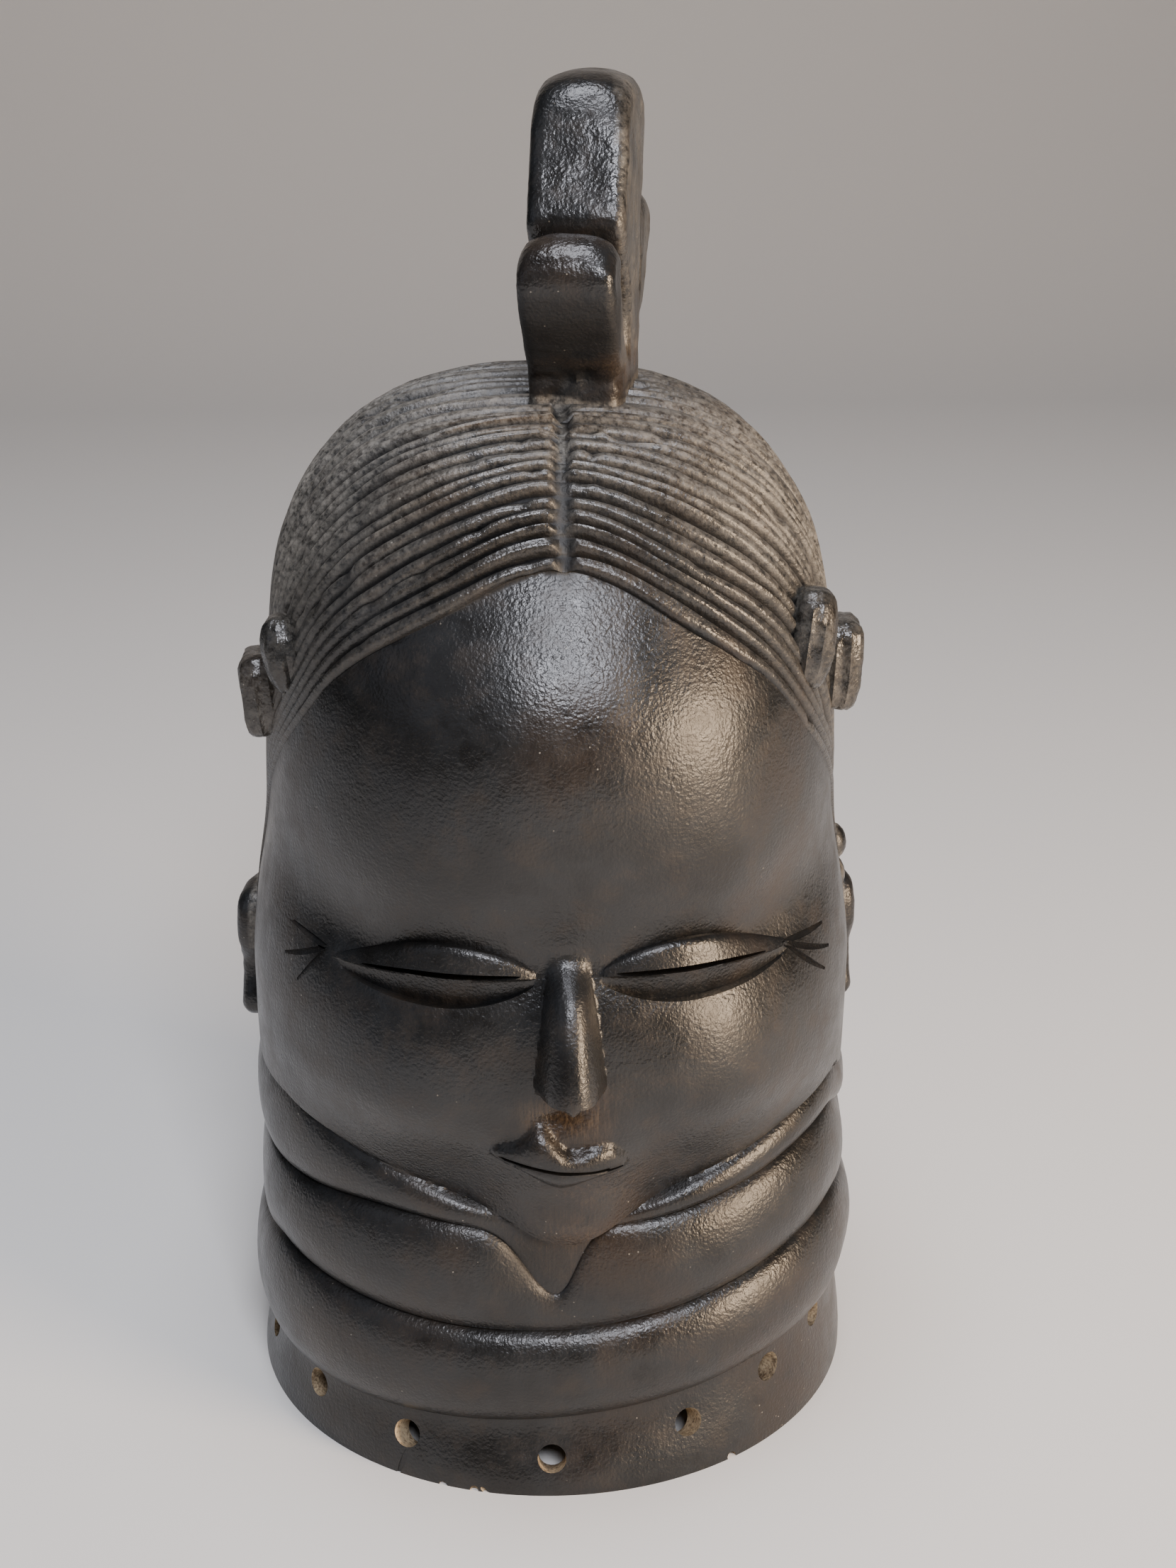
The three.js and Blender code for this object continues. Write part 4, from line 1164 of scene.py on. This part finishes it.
for form in knotForms("left", 51) + knotForms("right", 55):
    carve(mask, form, "UNION")
for side in (-1, 1):
    carve(mask, earForm(side), "UNION")
carve(mask, plaitBeads(), "UNION")
carve(mask, crestForm(), "UNION")
print("crest, knots, ears and plait joined")
carve(mask, hollowForm(), "DIFFERENCE")
carve(mask, lashHoleCutters(), "DIFFERENCE")
carve(mask, scarCutters(), "DIFFERENCE")
for side in (-1, 1):
    carve(mask, eyeSlits(side), "DIFFERENCE")
carve(mask, mouthGap(), "DIFFERENCE")
for chip in rimChips():
    carve(mask, chip, "DIFFERENCE")
print("hollow, holes, slits and marks cut")


def over(values, where, amount):  # the larger of both, where it applies
    return np.maximum(values, np.where(where, amount, 0))


def paintMasks(made):  # dust, painted shade, thin stain, and wood polished by handling
    p = readPoints(made)
    x, y, z = p.T
    v = p - np.array([0, earY, earZ])
    r = np.maximum(np.linalg.norm(v, axis=1), 1e-6)
    bearing = np.arcsin(np.clip(v[:, 0] / r, -1, 1))
    lift = np.mod(np.arctan2(v[:, 2], -v[:, 1]), 2 * math.pi)
    base = hairBase(bearing, lift)[3]
    line = hairlineLift(bearing)
    inHair = (lift > line) & (lift < math.pi) & (r < base + 2.4) & (r > base - 6)
    groove = np.clip((base + 0.2 - r) / 2.0, 0, 1)
    front = smooth(lift, line, footLift(bearing))
    patch = 0.5 + 0.5 * ripple(p, 24, 81)
    aside = smooth(np.abs(x), 20, 70)
    # painted shade at the bottom of the hair grooves
    painted_shade = np.where(inHair, groove ** 1.4 * mix(1.0, 0.75, front), 0)
    dusty = mix(0.14, 0.8, front * (0.6 + 0.4 * aside)) * (0.4 + 0.9 * patch)
    dust = np.where(inHair, (1 - groove) * dusty, 0)
    strip = 1 - smooth(np.abs(x - partingAt(lift)), 0.9, 1.9)
    upper = smooth(lift, 69 * degree, 74 * degree)
    ahead = (lift < 84 * degree)
    # painted shade in the lower part of the parting groove
    painted_shade = np.where(inHair & ahead, mix(painted_shade, 0.55 * (1 - upper), strip), painted_shade)
    dust = np.where(inHair & ahead, mix(dust, 0.3 + 0.5 * upper, strip), dust)
    onFace = y < earY - 40
    # painted shade in the small notch where the parting meets the hairline
    painted_shade = over(painted_shade, onFace, 0.9 * hill(x, 3.5) * hill((lift - line) / degree - 0.8, 1.1))
    fromMouth = x - face["mouthShift"]
    # painted shade along the mouth gap
    gap = np.abs(z - mouthLine(fromMouth)) < 1.3
    painted_shade = over(painted_shade, onFace & gap & (np.abs(fromMouth) < 18), 0.7)
    bare = np.where(onFace, hill(x, 10) * hill(z - 143, 7), 0)      # under the nose
    bare = over(bare, onFace, 0.5 * hill(x + 1, 13) * hill(z - 92, 12))
    bare = over(bare, onFace, 0.3 * hill(x - 12, 14) * hill(z - 112, 9))
    # painted shadow of the chin on the ring below it
    painted_shade = over(painted_shade, onFace, 0.65 * hill(x + 12, 11) * hill(z - 84, 12))
    footBase = (z < 356) & (z > 333) & (r > base + 1.0)
    inFront = smooth(-y, 34, 46)
    bare = over(bare, footBase, smooth(353 - z, 0, 4) * inFront)
    bare = over(bare, z > 333, 0.75 * hill(x - 26, 6) * hill(z - 346, 7) * (r > base + 1))
    # painted shade on the lower front of the crest, under its rounded tops
    painted_shade = over(painted_shade, z > 354, 0.75 * inFront * (1 - smooth(z, 368, 376)) * (np.abs(x) < 45))
    cuts = 0.5 + 0.5 * ripple(p, 7, 82)
    dust = over(dust, (z > 347) & (x > crest["shift"] + 6), 0.5 * cuts)
    worn = np.where(inHair, 0.6 * (1 - groove) * (1 - front), 0)
    worn = np.maximum(worn, 0.45 * smooth(z, 362, 372))
    onKnot = (np.abs(x) > 68) & (r > base + 1.7) & (z > 228) & (z < 290)
    worn = np.where(onKnot, 0.9, worn)
    dust = np.where(onKnot, 0.35 * cuts, dust)
    for name, values in (("dust", dust), ("bare", bare), ("worn", worn), ("painted_shade", painted_shade)):
        storeValues(made, name, "FLOAT", "value", np.clip(values, 0, 1).astype(np.float32))


paintMasks(mask)
mask.data.shade_smooth()
mask.data.set_sharp_from_angle(angle=48 * degree)
triangles = sum(len(polygon.vertices) - 2 for polygon in mask.data.polygons)
print("mask:", triangles, "triangles,", woods(mask))

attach(mask, "root")
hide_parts("helmet_mask")


# plain pale floor that sweeps up into a wall
studio = {"floor": "#e0deda", "floorWidth": 4.4, "wallAt": 2.6, "wallHeight": 3.4, "sweep": 1.0}


def paleFloor():
    material, tree, shader = newMaterial("pale_floor_paint")
    shader.inputs["Base Color"].default_value = linear(studio["floor"])
    shader.inputs["Roughness"].default_value = 0.8
    profile = [(-1.3, 0.0)]
    for k in range(13):
        a = k / 12 * math.pi / 2
        profile.append((studio["wallAt"] - studio["sweep"] + studio["sweep"] * math.sin(a),
                        studio["sweep"] - studio["sweep"] * math.cos(a)))
    profile.append((studio["wallAt"], studio["wallHeight"]))
    half = studio["floorWidth"] / 2
    points = [[x * 1000, y * 1000, z * 1000] for y, z in profile for x in (-half, half)]
    faces = [[2 * i, 2 * i + 1, 2 * i + 3, 2 * i + 2] for i in range(len(profile) - 1)]
    floor = meshObject("studio_floor", points, faces, material)
    floor.data.shade_smooth()


paleFloor()

camera = {"at": (-34.7, -662.9, 467.0), "yaw": 4.1 * degree, "down": 21.5 * degree, "lens": 49.93}


def makeCamera():
    data = bpy.data.cameras.new("camera")
    data.sensor_width = 36.0
    data.lens = camera["lens"]
    data.clip_start, data.clip_end = 0.01, 60.0
    made = bpy.data.objects.new("camera", data)
    bpy.context.collection.objects.link(made)
    made.location = [c / 1000 for c in camera["at"]]
    down, yaw = camera["down"], camera["yaw"]
    forward = Vector((math.cos(down) * math.sin(yaw), math.cos(down) * math.cos(yaw), -math.sin(down)))
    made.rotation_euler = forward.to_track_quat("-Z", "Y").to_euler()
    bpy.context.scene.camera = made


makeCamera()

lights = [  # name, place in metres, size, watts, colour
    ("key_softbox", (1.15, -0.90, 0.42), 0.55, 36.0, "#ffe0bd"),
    ("front_softbox", (0.14, -1.30, 1.35), 0.42, 27.0, "#f3f5ff"),
    ("top_softbox", (-0.05, -0.15, 1.90), 0.7, 22.0, "#f3f5ff"),
    ("fill_softbox", (-1.30, -0.80, 0.90), 1.0, 1.5, "#e9eeff"),
]


def makeLights():
    for name, at, size, watts, colour in lights:
        data = bpy.data.lights.new(name, "AREA")
        data.size, data.energy = size, watts
        data.color = linear(colour)[:3]
        made = bpy.data.objects.new(name, data)
        bpy.context.collection.objects.link(made)
        made.location = at
        toward = Vector((0, 0, 0.2)) - Vector(at)
        made.rotation_euler = toward.to_track_quat("-Z", "Y").to_euler()
    world = bpy.data.worlds.new("studio_air")
    world.use_nodes = True
    background = world.node_tree.nodes["Background"]
    background.inputs["Color"].default_value = linear("#e6e8ec")
    background.inputs["Strength"].default_value = 0.05
    bpy.context.scene.world = world


makeLights()
print("studio made")
